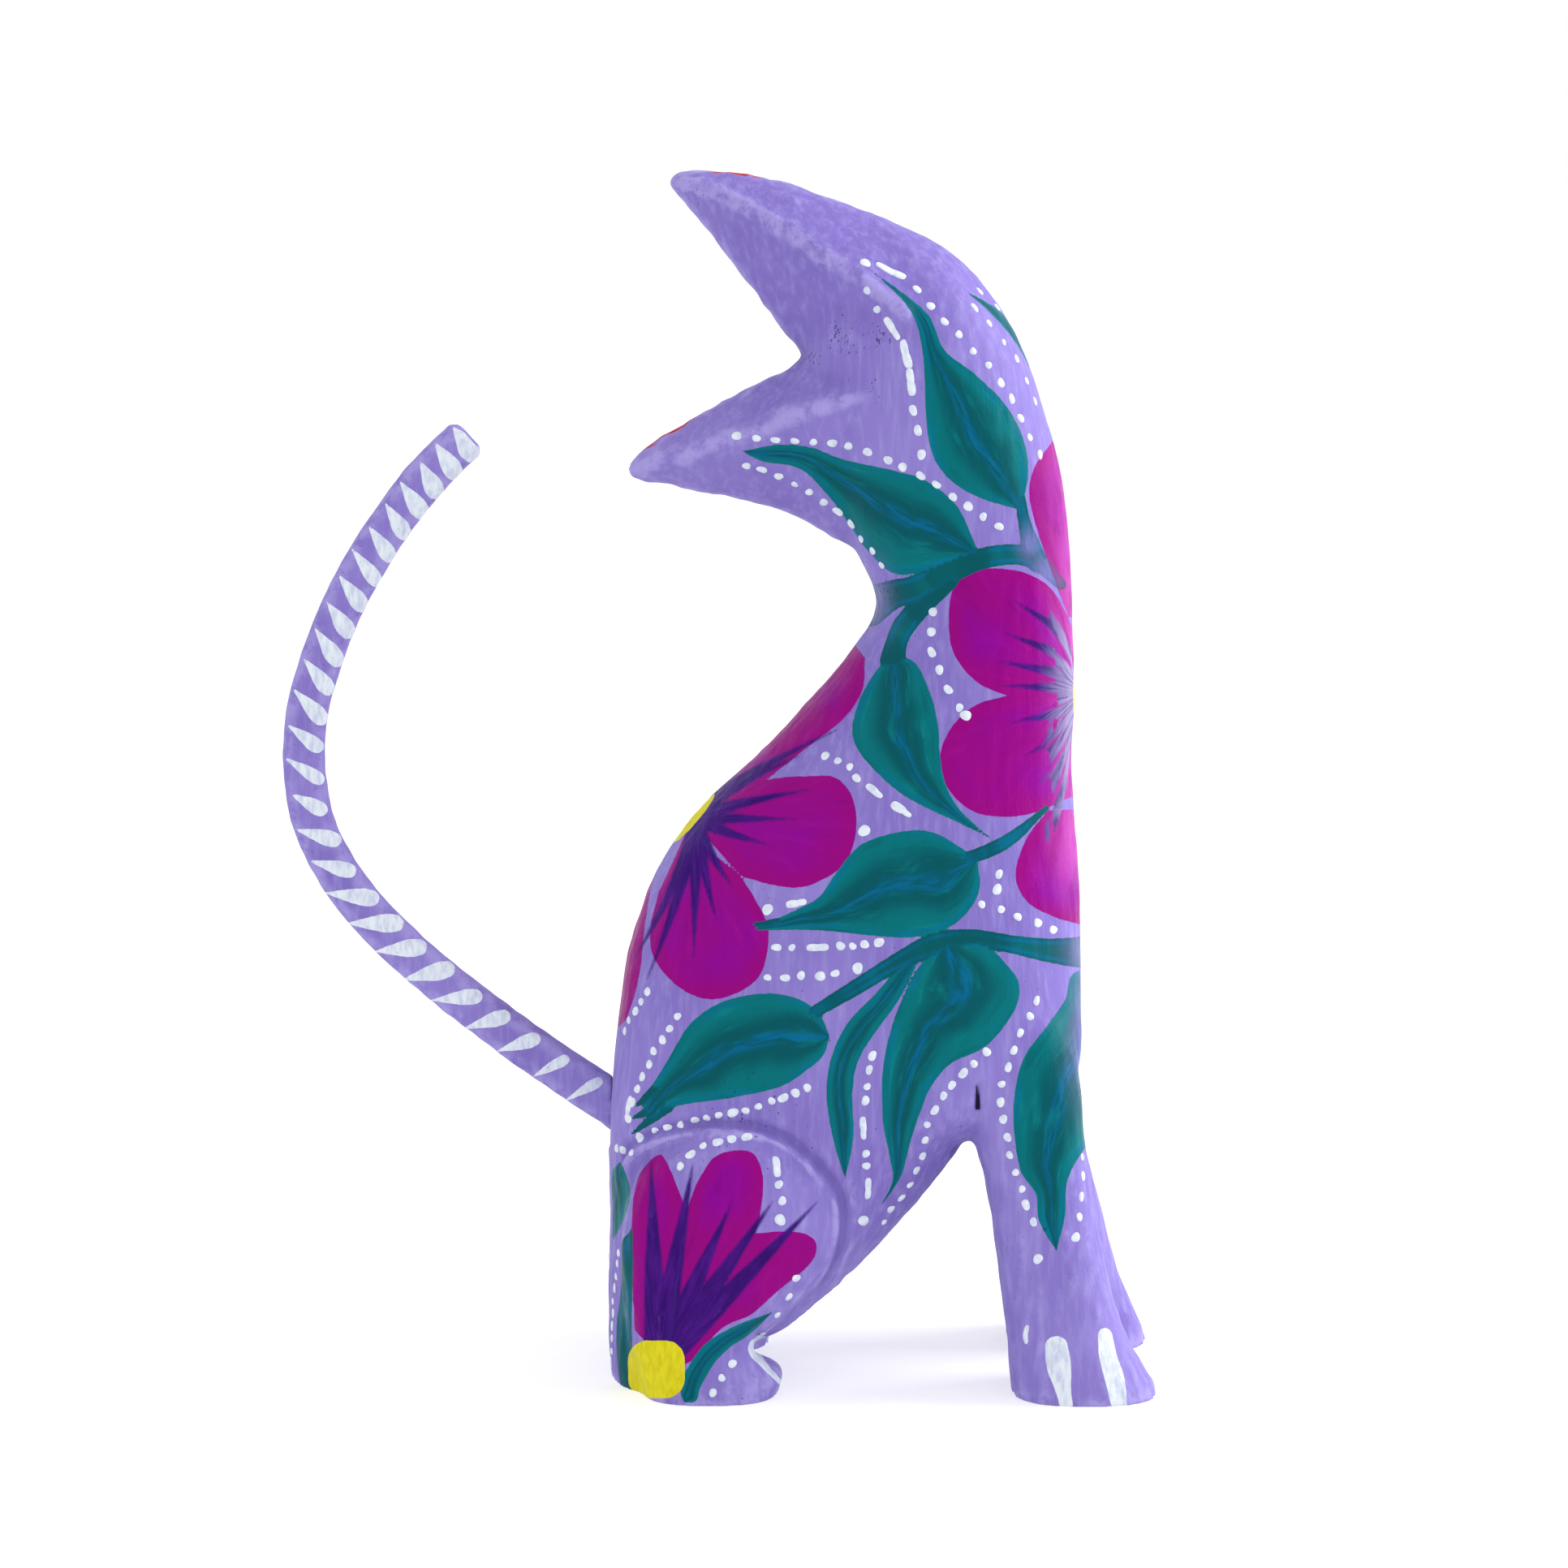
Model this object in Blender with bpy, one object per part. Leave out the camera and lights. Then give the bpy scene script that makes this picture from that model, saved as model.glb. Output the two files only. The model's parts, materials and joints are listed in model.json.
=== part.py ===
"""Seated cat figure carved from one block of soft wood, with a separate carved tail.

Metres, +Z up. The cat sits on z = 0 and faces +X, with its head bent back and turned to +Y, so that
both ears point back over the tail. The tail is a curved stick held by a dowel in a socket in the back.
The design values below are in millimetres; MM turns them into metres.
"""

import math

import bmesh
import bpy
import numpy as np
from mathutils import Matrix, Vector

MM = 0.001

# Driving dimensions, in millimetres
HEAD_MID_Y = 2.5
FIT_GAP = 0.3

# The tail's seat on the back, its dowel and its socket
TAIL_SEAT_X = -17.3
TAIL_ROOT_Z = 44.8
TAIL_RISE_DEG = 34.0
TAIL_WIDTH = 7.2
TAIL_DEPTH = 6.6
DOWEL_DIAMETER = 3.6
DOWEL_IN_BODY = 14.0
DOWEL_IN_TAIL = 9.0
DOWEL_CHAMFER = 0.5
DOWEL_SIDES = 24
HOLE_DIAMETER = DOWEL_DIAMETER + 2.0 * FIT_GAP
HOLE_EXTRA_DEPTH = 0.8
HOLE_CHAMFER = 0.2
SEAT_CUT = (2.0, 12.0, 13.0)
GROUND_CUT = (300.0, 200.0, 20.0)

# Surface making: one skin over all the carved masses
SKIN_VOXEL = 0.9
SKIN_SMOOTH_STEPS = 10
SKIN_KEPT_SHARE = 0.05
RING_POINTS = 72
SECTION_STEP = 2.0

# Torso, neck and head as level sections: height, back edge, front edge, half width, middle in y, squareness
TORSO = (
    (-3.0, -17.9, 3.0, 20.0, 0.0, 2.6),
    (3.4, -18.3, 4.6, 21.0, 0.0, 2.6),
    (8.6, -18.4, 12.2, 22.2, 0.0, 2.6),
    (19.6, -18.2, 24.9, 23.4, 0.0, 2.6),
    (30.7, -18.1, 34.8, 23.6, 0.0, 2.7),
    (37.0, -18.1, 39.6, 23.6, 0.0, 2.9),
    (42.0, -18.0, 43.4, 23.6, 0.0, 3.1),
    (47.0, -17.8, 55.0, 23.5, 0.0, 3.3),
    (51.0, -17.4, 60.4, 23.4, 0.0, 3.3),
    (58.0, -16.7, 61.0, 23.2, 0.0, 3.2),
    (69.0, -15.2, 60.8, 22.6, 0.0, 2.9),
    (80.0, -12.0, 60.7, 21.6, 0.0, 2.6),
    (88.0, -8.0, 60.1, 20.6, 0.0, 2.45),
    (96.4, -1.3, 59.4, 19.5, 0.0, 2.35),
    (104.6, 7.6, 59.1, 18.4, 0.0, 2.3),
    (112.7, 15.1, 59.6, 17.3, 0.0, 2.25),
    (120.8, 22.0, 59.4, 16.1, 0.0, 2.2),
    (129.6, 26.7, 58.9, 15.2, 0.0, 2.2),
    (137.6, 23.2, 58.6, 15.4, 0.6, 2.2),
    (145.7, 19.4, 57.9, 16.6, 1.6, 2.2),
    (153.8, 16.5, 56.4, 17.6, 2.2, 2.25),
    (161.8, 14.2, 53.9, 18.0, HEAD_MID_Y, 2.3),
    (171.8, 13.4, 50.4, 17.4, HEAD_MID_Y, 2.3),
    (180.7, 15.0, 44.9, 14.8, HEAD_MID_Y, 2.2),
    (188.0, 17.5, 37.4, 10.4, 2.0, 2.1),
    (192.0, 20.5, 29.2, 5.4, 1.0, 2.0),
    (193.6, 22.5, 25.5, 2.0, 0.5, 2.0),
)

# Front leg on the -Y side: height, back edge, front edge, inner face, outer face
FRONT_LEG = (
    (-3.0, 49.2, 73.4, 6.5, 28.2),
    (0.6, 48.9, 72.9, 6.5, 28.2),
    (4.6, 48.5, 70.4, 6.6, 27.8),
    (10.9, 47.9, 67.2, 6.4, 26.6),
    (21.0, 46.6, 64.4, 5.8, 25.2),
    (32.5, 44.9, 62.2, 5.0, 24.2),
    (42.0, 42.6, 60.9, 4.2, 23.6),
    (50.0, 40.8, 60.3, 3.4, 22.4),
    (58.0, 39.5, 59.2, 2.6, 20.6),
    (68.0, 38.0, 54.0, 2.0, 17.6),
)
FAR_LEG_LEAD = ((0.0, 0.6), (8.0, 2.0), (20.0, 2.0), (36.0, 0.9), (52.0, 0.4))
LEG_SQUARENESS = 2.7

# Haunch and hind foot on the -Y side, in the same terms
HAUNCH = (
    (-3.0, -12.0, 9.6, 6.0, 27.6),
    (0.6, -12.4, 10.4, 6.0, 27.8),
    (3.0, -13.0, 11.4, 6.0, 28.0),
    (6.0, -13.8, 9.0, 6.0, 28.0),
    (9.1, -14.5, 6.8, 6.0, 28.0),
    (12.6, -15.0, 9.6, 6.0, 28.2),
    (16.5, -15.5, 13.7, 6.0, 28.4),
    (20.4, -15.8, 17.5, 6.0, 28.4),
    (25.0, -15.8, 20.0, 6.0, 28.4),
    (30.0, -15.2, 21.2, 6.0, 28.2),
    (35.0, -13.6, 20.2, 6.0, 27.6),
    (40.0, -10.4, 16.6, 6.0, 26.7),
    (44.0, -5.4, 10.6, 6.0, 25.4),
    (46.4, -1.0, 5.4, 6.0, 24.0),
)
FAR_FOOT_LEAD = -2.2
FOOT_HEIGHT = 3.0
FOOT_REACH = 5.0
HAUNCH_SQUARENESS = 2.6

# Ears, root to tip: lower edge (x, z), upper edge (x, z), ridge share from the lower edge, ridge depth
UPPER_EAR = (
    ((24.0, 163.0), (36.0, 186.0), 0.62, 15.5),
    ((15.6, 168.4), (28.6, 192.3), 0.63, 14.8),
    ((11.6, 173.4), (20.4, 195.4), 0.64, 13.2),
    ((8.6, 177.4), (13.8, 197.9), 0.66, 11.6),
    ((4.8, 182.6), (7.8, 199.3), 0.68, 10.0),
    ((0.8, 187.8), (2.2, 200.2), 0.70, 8.4),
    ((-3.2, 192.6), (-2.4, 200.6), 0.70, 7.0),
    ((-6.2, 196.4), (-5.8, 200.2), 0.60, 5.6),
    ((-7.4, 197.8), (-7.3, 199.2), 0.50, 4.4),
)
LOWER_EAR = (
    ((28.0, 136.0), (24.0, 176.0), 0.72, 15.0),
    ((19.6, 139.8), (16.6, 171.2), 0.74, 14.2),
    ((13.8, 143.4), (11.4, 168.0), 0.72, 12.8),
    ((8.6, 145.2), (7.0, 165.6), 0.68, 11.4),
    ((3.0, 146.6), (1.8, 163.0), 0.64, 10.0),
    ((-3.4, 147.9), (-4.2, 159.8), 0.60, 8.4),
    ((-9.0, 148.9), (-9.6, 156.5), 0.56, 6.8),
    ((-13.4, 149.8), (-13.6, 153.6), 0.50, 5.4),
    ((-14.8, 150.9), (-14.8, 152.1), 0.50, 4.2),
)
EAR_EDGE_Y = 1.6
EAR_EDGE_THICKNESS = 3.0
EAR_HOLLOW = 3.2

# Face on the +Y side, in the head's own frame: its middle, and how far its crown leans up from -X
FACE_MIDDLE = (34.6, 166.4)
HEAD_LEAN_DEG = 13.0
# Its relief: rise, place along the crown direction and across the face, spread in those two directions
FACE_RELIEF = (
    (5.4, -5.5, 0.0, 8.5, 10.5),
    (1.5, -8.5, 5.0, 4.6, 4.4),
    (2.0, 5.0, 0.0, 9.5, 4.2),
    (1.7, -1.8, 0.0, 2.8, 3.4),
    (-1.5, 6.8, 9.0, 4.6, 4.6),
    (1.5, 6.8, 9.4, 2.9, 3.4),
    (1.2, 13.0, 8.5, 3.6, 6.0),
    (1.3, -15.0, 0.0, 3.6, 5.0),
)
FACE_FRONT_SHARE = 0.45

# Tail centre line from its root to its tip, in x and z
TAIL_LINE = (
    (-31.0, 54.0),
    (-38.8, 59.8),
    (-46.7, 66.2),
    (-54.5, 73.3),
    (-60.7, 80.3),
    (-65.1, 87.4),
    (-67.8, 95.0),
    (-68.7, 103.0),
    (-68.0, 111.0),
    (-65.8, 119.0),
    (-62.2, 128.0),
    (-57.3, 137.0),
    (-51.4, 145.6),
    (-45.5, 152.5),
    (-41.5, 156.2),
)
TAIL_END_LENGTH = 10.0
TAIL_SQUARENESS = 3.0
TAIL_SECTIONS = 44
TAIL_SECTION_POINTS = 16
MITRE_CUT = (40.0, 30.0, 60.0)

# Saw kerf above the crotch on the -Y side
KERF_PLACE = (42.6, -22.0, 46.6)
KERF_SIZE = (0.6, 8.0, 4.4)


def clear_scene():
    for old in list(bpy.data.objects):
        bpy.data.objects.remove(old, do_unlink=True)


def material(name, colour, roughness, metallic=0.0):
    made = bpy.data.materials.new(name)
    made.use_nodes = True
    shader = made.node_tree.nodes["Principled BSDF"]
    shader.inputs["Base Color"].default_value = (*colour, 1.0)
    shader.inputs["Roughness"].default_value = roughness
    shader.inputs["Metallic"].default_value = metallic
    return made


def smooth_columns(rows, at):
    """Cubic curves through the columns of rows, whose first column is the position, read at the values in at.

    A slope is the harmonic mean of the slopes on its two sides, so the curves never overshoot their points.
    """
    table = np.array(rows, float)
    where = table[:, 0]
    values = table[:, 1:]
    secants = np.diff(values, axis=0) / np.diff(where)[:, None]
    before, after = secants[:-1], secants[1:]
    same_way = before * after > 0
    total = np.where(same_way, before + after, 1.0)
    inner = np.where(same_way, 2.0 * before * after / total, 0.0)
    slopes = np.concatenate([secants[:1], inner, secants[-1:]])
    index = np.clip(np.searchsorted(where, at, side="right") - 1, 0, len(where) - 2)
    span = (where[index + 1] - where[index])[:, None]
    t = ((at - where[index])[:, None]) / span
    start = values[index] * (2 * t**3 - 3 * t**2 + 1) + slopes[index] * span * (t**3 - 2 * t**2 + t)
    end = values[index + 1] * (3 * t**2 - 2 * t**3) + slopes[index + 1] * span * (t**3 - t**2)
    return start + end


def superellipse(count, squareness):
    """Unit points round a circle that is squared off towards a box as squareness rises above 2."""
    angle = np.linspace(0.0, 2.0 * math.pi, count, endpoint=False)
    power = 2.0 / squareness
    across = np.sign(np.cos(angle)) * np.abs(np.cos(angle)) ** power
    along = np.sign(np.sin(angle)) * np.abs(np.sin(angle)) ** power
    return np.stack([across, along], axis=1)


def add_loft(mesh, rings):
    """Joins rings of points into one closed skin with flat ends."""
    made = [[mesh.verts.new(Vector(point) * MM) for point in ring] for ring in rings]
    count = len(made[0])
    for low, high in zip(made[:-1], made[1:]):
        for i in range(count):
            mesh.faces.new((low[i], low[(i + 1) % count], high[(i + 1) % count], high[i]))
    mesh.faces.new(made[0][::-1])
    mesh.faces.new(made[-1])


def level_rings(back, front, side_low, side_high, heights, squareness):
    """Level rings, one for each height, between back and front in x and two sides in y."""
    squareness = np.broadcast_to(squareness, np.shape(heights))
    rings = []
    for i, height in enumerate(heights):
        unit = superellipse(RING_POINTS, squareness[i])
        x = (front[i] + back[i]) / 2 + unit[:, 0] * (front[i] - back[i]) / 2
        y = (side_high[i] + side_low[i]) / 2 + unit[:, 1] * (side_high[i] - side_low[i]) / 2
        rings.append(np.stack([x, y, np.full(len(x), height)], axis=1))
    return rings


def heights_of(rows):
    low, high = rows[0][0], rows[-1][0]
    return np.linspace(low, high, int((high - low) / SECTION_STEP) + 2)


def with_face(ring, middle, half):
    """Raises the muzzle, cheeks, nose, brows and chin on the +Y side of a ring through the head."""
    lean = math.radians(HEAD_LEAN_DEG)
    away = ring[:, [0, 2]] - np.array(FACE_MIDDLE)
    up = away @ np.array((-math.cos(lean), math.sin(lean)))
    across = away @ np.array((math.sin(lean), math.cos(lean)))
    rise = np.zeros(len(ring))
    for height, up_at, side_at, up_spread, side_spread in FACE_RELIEF:
        side_off = (np.abs(across) - side_at) / side_spread
        rise += height * np.exp(-(((up - up_at) / up_spread) ** 2) - side_off**2)
    front_share = np.clip((ring[:, 1] - middle) / half / FACE_FRONT_SHARE, 0.0, 1.0)
    raised = ring.copy()
    raised[:, 1] += rise * front_share
    return raised


def add_torso(mesh):
    heights = heights_of(TORSO)
    back, front, half, middle, squareness = smooth_columns(TORSO, heights).T
    rings = level_rings(back, front, middle - half, middle + half, heights, squareness)
    add_loft(mesh, [with_face(ring, middle[i], half[i]) for i, ring in enumerate(rings)])


def add_front_leg(mesh, side):
    """A front leg and paw; the +Y one stands slightly ahead."""
    heights = heights_of(FRONT_LEG)
    back, front, inner, outer = smooth_columns(FRONT_LEG, heights).T
    if side > 0:
        lead = np.interp(heights, *np.transpose(FAR_LEG_LEAD))
        back, front = back + lead, front + lead
    low, high = np.minimum(side * inner, side * outer), np.maximum(side * inner, side * outer)
    add_loft(mesh, level_rings(back, front, low, high, heights, LEG_SQUARENESS))


def add_haunch(mesh, side):
    """A thigh, raised from the flank, that runs down into a short hind foot."""
    heights = heights_of(HAUNCH)
    back, front, inner, outer = smooth_columns(HAUNCH, heights).T
    if side > 0:
        front = front + FAR_FOOT_LEAD * np.exp(-(((heights - FOOT_HEIGHT) / FOOT_REACH) ** 2))
    low, high = np.minimum(side * inner, side * outer), np.maximum(side * inner, side * outer)
    add_loft(mesh, level_rings(back, front, low, high, heights, HAUNCH_SQUARENESS))


def ear_ring(low, high, ridge_share, ridge_depth, hollow_share):
    """One section of an ear: a ridged back towards -Y and a hollow front towards +Y."""
    share = np.linspace(0.0, 1.0, RING_POINTS // 2)
    rise = np.where(share < ridge_share, share / ridge_share, (1.0 - share) / (1.0 - ridge_share))
    edge_back = EAR_EDGE_Y - EAR_EDGE_THICKNESS
    back_y = edge_back - (ridge_depth + edge_back) * rise**0.72
    front_y = EAR_EDGE_Y - EAR_HOLLOW * hollow_share * np.sin(math.pi * share)
    low, high = np.array(low), np.array(high)
    line = low + share[:, None] * (high - low)
    back_side = np.stack([line[:, 0], back_y, line[:, 1]], axis=1)
    front_side = np.stack([line[:, 0], front_y, line[:, 1]], axis=1)[::-1]
    return np.concatenate([back_side, front_side])


def add_ear(mesh, stations):
    rings = []
    for i, (low, high, ridge_share, ridge_depth) in enumerate(stations):
        hollow_share = 1.0 - 0.55 * i / (len(stations) - 1)
        rings.append(ear_ring(low, high, ridge_share, ridge_depth, hollow_share))
    add_loft(mesh, rings)


def object_from(name, mesh, finish=None):
    bmesh.ops.recalc_face_normals(mesh, faces=mesh.faces[:])
    data = bpy.data.meshes.new(name)
    mesh.to_mesh(data)
    mesh.free()
    made = bpy.data.objects.new(name, data)
    bpy.context.scene.collection.objects.link(made)
    if finish:
        data.materials.append(finish)
    return made


def cutter(name, mesh):
    made = object_from(name, mesh)
    made.hide_render = True
    made.display_type = "WIRE"
    return made


def box_cutter(name, centre, size):
    mesh = bmesh.new()
    place = Matrix.Translation(Vector(centre) * MM) @ Matrix.Diagonal((*(Vector(size) * MM), 1.0))
    bmesh.ops.create_cube(mesh, size=1.0, matrix=place)
    return cutter(name, mesh)


def tail_direction():
    rise = math.radians(TAIL_RISE_DEG)
    return Vector((-math.cos(rise), 0.0, math.sin(rise)))


def dowel_mesh(diameter, start, end, chamfer):
    """A turned stick along the tail's root direction, from start to end past the seat."""
    mesh = bmesh.new()
    direction = tail_direction()
    seat = Vector((TAIL_SEAT_X, 0.0, TAIL_ROOT_Z))
    side = Vector((0.0, 1.0, 0.0))
    up = direction.cross(side)
    radius = diameter / 2
    tip_radius = radius - chamfer
    full = ((start + chamfer, radius), (end - chamfer, radius))
    stations = ((start, tip_radius), *full, (end, tip_radius))
    angles = np.linspace(0.0, 2.0 * math.pi, DOWEL_SIDES, endpoint=False)
    rings = []
    for distance, size in stations:
        middle = seat + direction * distance
        rings.append([middle + side * (math.cos(a) * size) + up * (math.sin(a) * size) for a in angles])
    add_loft(mesh, rings)
    return mesh


def subtract(target, tool):
    cut = target.modifiers.new(tool.name, "BOOLEAN")
    cut.operation = "DIFFERENCE"
    cut.solver = "EXACT"
    cut.object = tool


def make_carved_body():
    """Body, legs, neck, head and ears, carved from one block, with the tail's socket in the back."""
    mesh = bmesh.new()
    add_torso(mesh)
    for side in (-1, 1):
        add_front_leg(mesh, side)
        add_haunch(mesh, side)
    add_ear(mesh, UPPER_EAR)
    add_ear(mesh, LOWER_EAR)
    body = object_from("carved_body", mesh, material("violet_paint", (0.28, 0.18, 0.62), 0.45))

    skin = body.modifiers.new("one_skin", "REMESH")
    skin.mode = "VOXEL"
    skin.voxel_size = SKIN_VOXEL * MM
    soften = body.modifiers.new("knife_rounding", "SMOOTH")
    soften.factor = 0.5
    soften.iterations = SKIN_SMOOTH_STEPS
    thin = body.modifiers.new("fewer_faces", "DECIMATE")
    thin.ratio = SKIN_KEPT_SHARE

    subtract(body, box_cutter("cut_below_ground", (0.0, 0.0, -GROUND_CUT[2] / 2), GROUND_CUT))
    seat_middle = (TAIL_SEAT_X - SEAT_CUT[0] / 2, 0.0, TAIL_ROOT_Z)
    subtract(body, box_cutter("cut_tail_seat", seat_middle, SEAT_CUT))
    socket_depth = DOWEL_IN_BODY + HOLE_EXTRA_DEPTH
    socket = dowel_mesh(HOLE_DIAMETER, -socket_depth, 8.0, HOLE_CHAMFER)
    subtract(body, cutter("cut_tail_socket", socket))
    subtract(body, box_cutter("cut_saw_kerf", KERF_PLACE, KERF_SIZE))
    return body


def tail_points():
    """Evenly spaced centre line points that leave the seat straight along the dowel."""
    direction = tail_direction()
    seat = Vector((TAIL_SEAT_X - FIT_GAP, 0.0, TAIL_ROOT_Z))
    inside = seat - direction * TAIL_END_LENGTH
    start = seat + direction * 4.0
    corners = [(inside.x, inside.z), (start.x, start.z), *TAIL_LINE]
    knots = np.array(corners)
    lengths = np.concatenate([[0.0], np.cumsum(np.linalg.norm(np.diff(knots, axis=0), axis=1))])
    at = np.linspace(0.0, lengths[-1], TAIL_SECTIONS)
    return smooth_columns(np.column_stack([lengths, knots]), at)


def make_tail():
    """The carved tail: a curved stick of rounded square section, mitred flat against the back."""
    points = tail_points()
    unit = superellipse(TAIL_SECTION_POINTS, TAIL_SQUARENESS)
    along = np.gradient(points, axis=0)
    along /= np.linalg.norm(along, axis=1)[:, None]
    left = np.stack([-along[:, 1], along[:, 0]], axis=1)
    rings = []
    for i, point in enumerate(points):
        share = i / (len(points) - 1)
        width = TAIL_WIDTH * (1.0 + 0.08 * (1.0 - share) - 0.05 * math.sin(math.pi * share))
        x = point[0] + left[i, 0] * unit[:, 0] * width / 2
        z = point[1] + left[i, 1] * unit[:, 0] * width / 2
        y = unit[:, 1] * TAIL_DEPTH / 2
        rings.append(np.stack([x, y, z], axis=1))
    end = rings[-1].mean(axis=0)
    tip = end + 1.1 * np.array([along[-1, 0], 0.0, along[-1, 1]])
    rings.append(tip + (rings[-1] - end) * 0.72)
    mesh = bmesh.new()
    add_loft(mesh, rings)
    tail = object_from("tail", mesh, material("violet_tail_paint", (0.28, 0.18, 0.62), 0.45))
    mitre_middle = (TAIL_SEAT_X - FIT_GAP + MITRE_CUT[0] / 2, 0.0, TAIL_ROOT_Z)
    subtract(tail, box_cutter("cut_tail_mitre", mitre_middle, MITRE_CUT))
    hole_depth = DOWEL_IN_TAIL + HOLE_EXTRA_DEPTH
    hole = dowel_mesh(HOLE_DIAMETER, -6.0, hole_depth, HOLE_CHAMFER)
    subtract(tail, cutter("cut_tail_hole", hole))
    return tail


def make_tail_peg():
    """The dowel that joins the tail to the back."""
    mesh = dowel_mesh(DOWEL_DIAMETER, -DOWEL_IN_BODY, DOWEL_IN_TAIL, DOWEL_CHAMFER)
    return object_from("tail_peg", mesh, material("bare_wood", (0.72, 0.55, 0.36), 0.7))


def main():
    clear_scene()
    make_carved_body()
    make_tail()
    make_tail_peg()


main()
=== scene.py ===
"""Seated cat figure carved in wood and painted by hand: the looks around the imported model.

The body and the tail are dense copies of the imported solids, smoothed, given the marks of the knife, and
painted with leaves, flowers and dots. Design values are in millimetres; MM turns them into metres.
"""

import json
import math

import bpy
import numpy as np
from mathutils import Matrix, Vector
from mathutils.bvhtree import BVHTree
from mathutils.kdtree import KDTree


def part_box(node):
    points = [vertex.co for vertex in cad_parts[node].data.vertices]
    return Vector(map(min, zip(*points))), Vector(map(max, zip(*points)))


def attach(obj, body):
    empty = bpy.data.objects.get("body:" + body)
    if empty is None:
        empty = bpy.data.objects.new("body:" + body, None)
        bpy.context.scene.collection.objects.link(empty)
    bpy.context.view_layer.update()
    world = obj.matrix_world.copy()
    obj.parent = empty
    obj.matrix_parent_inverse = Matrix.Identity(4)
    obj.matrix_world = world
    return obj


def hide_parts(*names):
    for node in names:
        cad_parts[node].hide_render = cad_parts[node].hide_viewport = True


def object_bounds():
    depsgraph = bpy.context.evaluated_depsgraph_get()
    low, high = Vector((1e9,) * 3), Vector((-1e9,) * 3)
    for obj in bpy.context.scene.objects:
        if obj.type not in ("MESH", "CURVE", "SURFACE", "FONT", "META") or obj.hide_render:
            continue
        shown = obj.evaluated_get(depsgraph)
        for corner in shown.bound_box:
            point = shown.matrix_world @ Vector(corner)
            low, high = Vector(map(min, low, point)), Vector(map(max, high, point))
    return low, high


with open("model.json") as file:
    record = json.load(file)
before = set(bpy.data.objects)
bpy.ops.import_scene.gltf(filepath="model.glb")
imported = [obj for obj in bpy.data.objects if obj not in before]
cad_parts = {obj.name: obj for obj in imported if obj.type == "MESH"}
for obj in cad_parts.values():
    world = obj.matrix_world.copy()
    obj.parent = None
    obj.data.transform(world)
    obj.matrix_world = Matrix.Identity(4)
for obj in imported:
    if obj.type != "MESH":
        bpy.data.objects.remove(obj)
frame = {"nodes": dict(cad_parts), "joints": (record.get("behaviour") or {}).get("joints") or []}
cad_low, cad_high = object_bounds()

MM = 0.001
SEED = 7

# Fineness of the carved skins
BODY_VOXEL = 0.5
TAIL_VOXEL = 0.4
BODY_RELAX_ROUNDS = 24
TAIL_RELAX_ROUNDS = 16
RELAX_PULLS = (0.62, -0.64)

# The painter's plane: outlines are drawn on it as seen from the eye, and wrap on to the wood behind it
EYE_DISTANCE = 800.0
EYE_RISE_DEG = 8.0
AIM_FROM_MIDDLE = 10.55
AIM_SHARE_OF_HEIGHT = 0.494
VIEW_HALF_WIDTH_TAN = 0.16318

# Beyond any paint, in millimetres outside its edge
OUTSIDE = -4.0
# Well within any paint
INSIDE = 3.0
# Half the width, in the brush's own millimetres, over which strokes fan across a leaf
LEAF_BRUSH_WIDTH = 4.0
# The same across a petal for each radian, and where in a leaf's brush marks a stem lies
PETAL_FAN = 9.0
STEM_ACROSS = 1.2
# Between the brush marks of one motif and the next
FLOW_APART = 50.0
# How far round a motif its depth is worked out, and places along a leaf's midline
PAINT_MARGIN = 2.5
MIDLINE_PLACES = 24

# Places where the leaf paint is let thin so the ground shows through, as a painted sheen on edges turning
# from view: place, spread, strength
LEAF_SHEEN_PLACES = (
    ((26.6, 129.5), (2.2, 4.6), 1), ((55.6, 134.5), (3.4, 3.6), 1), ((62, 71.5), (3.4, 4.2), 1),
    ((61.5, 58), (2.4, 9), 1), ((52.2, 139), (1.8, 2.6), 1),
)

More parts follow.
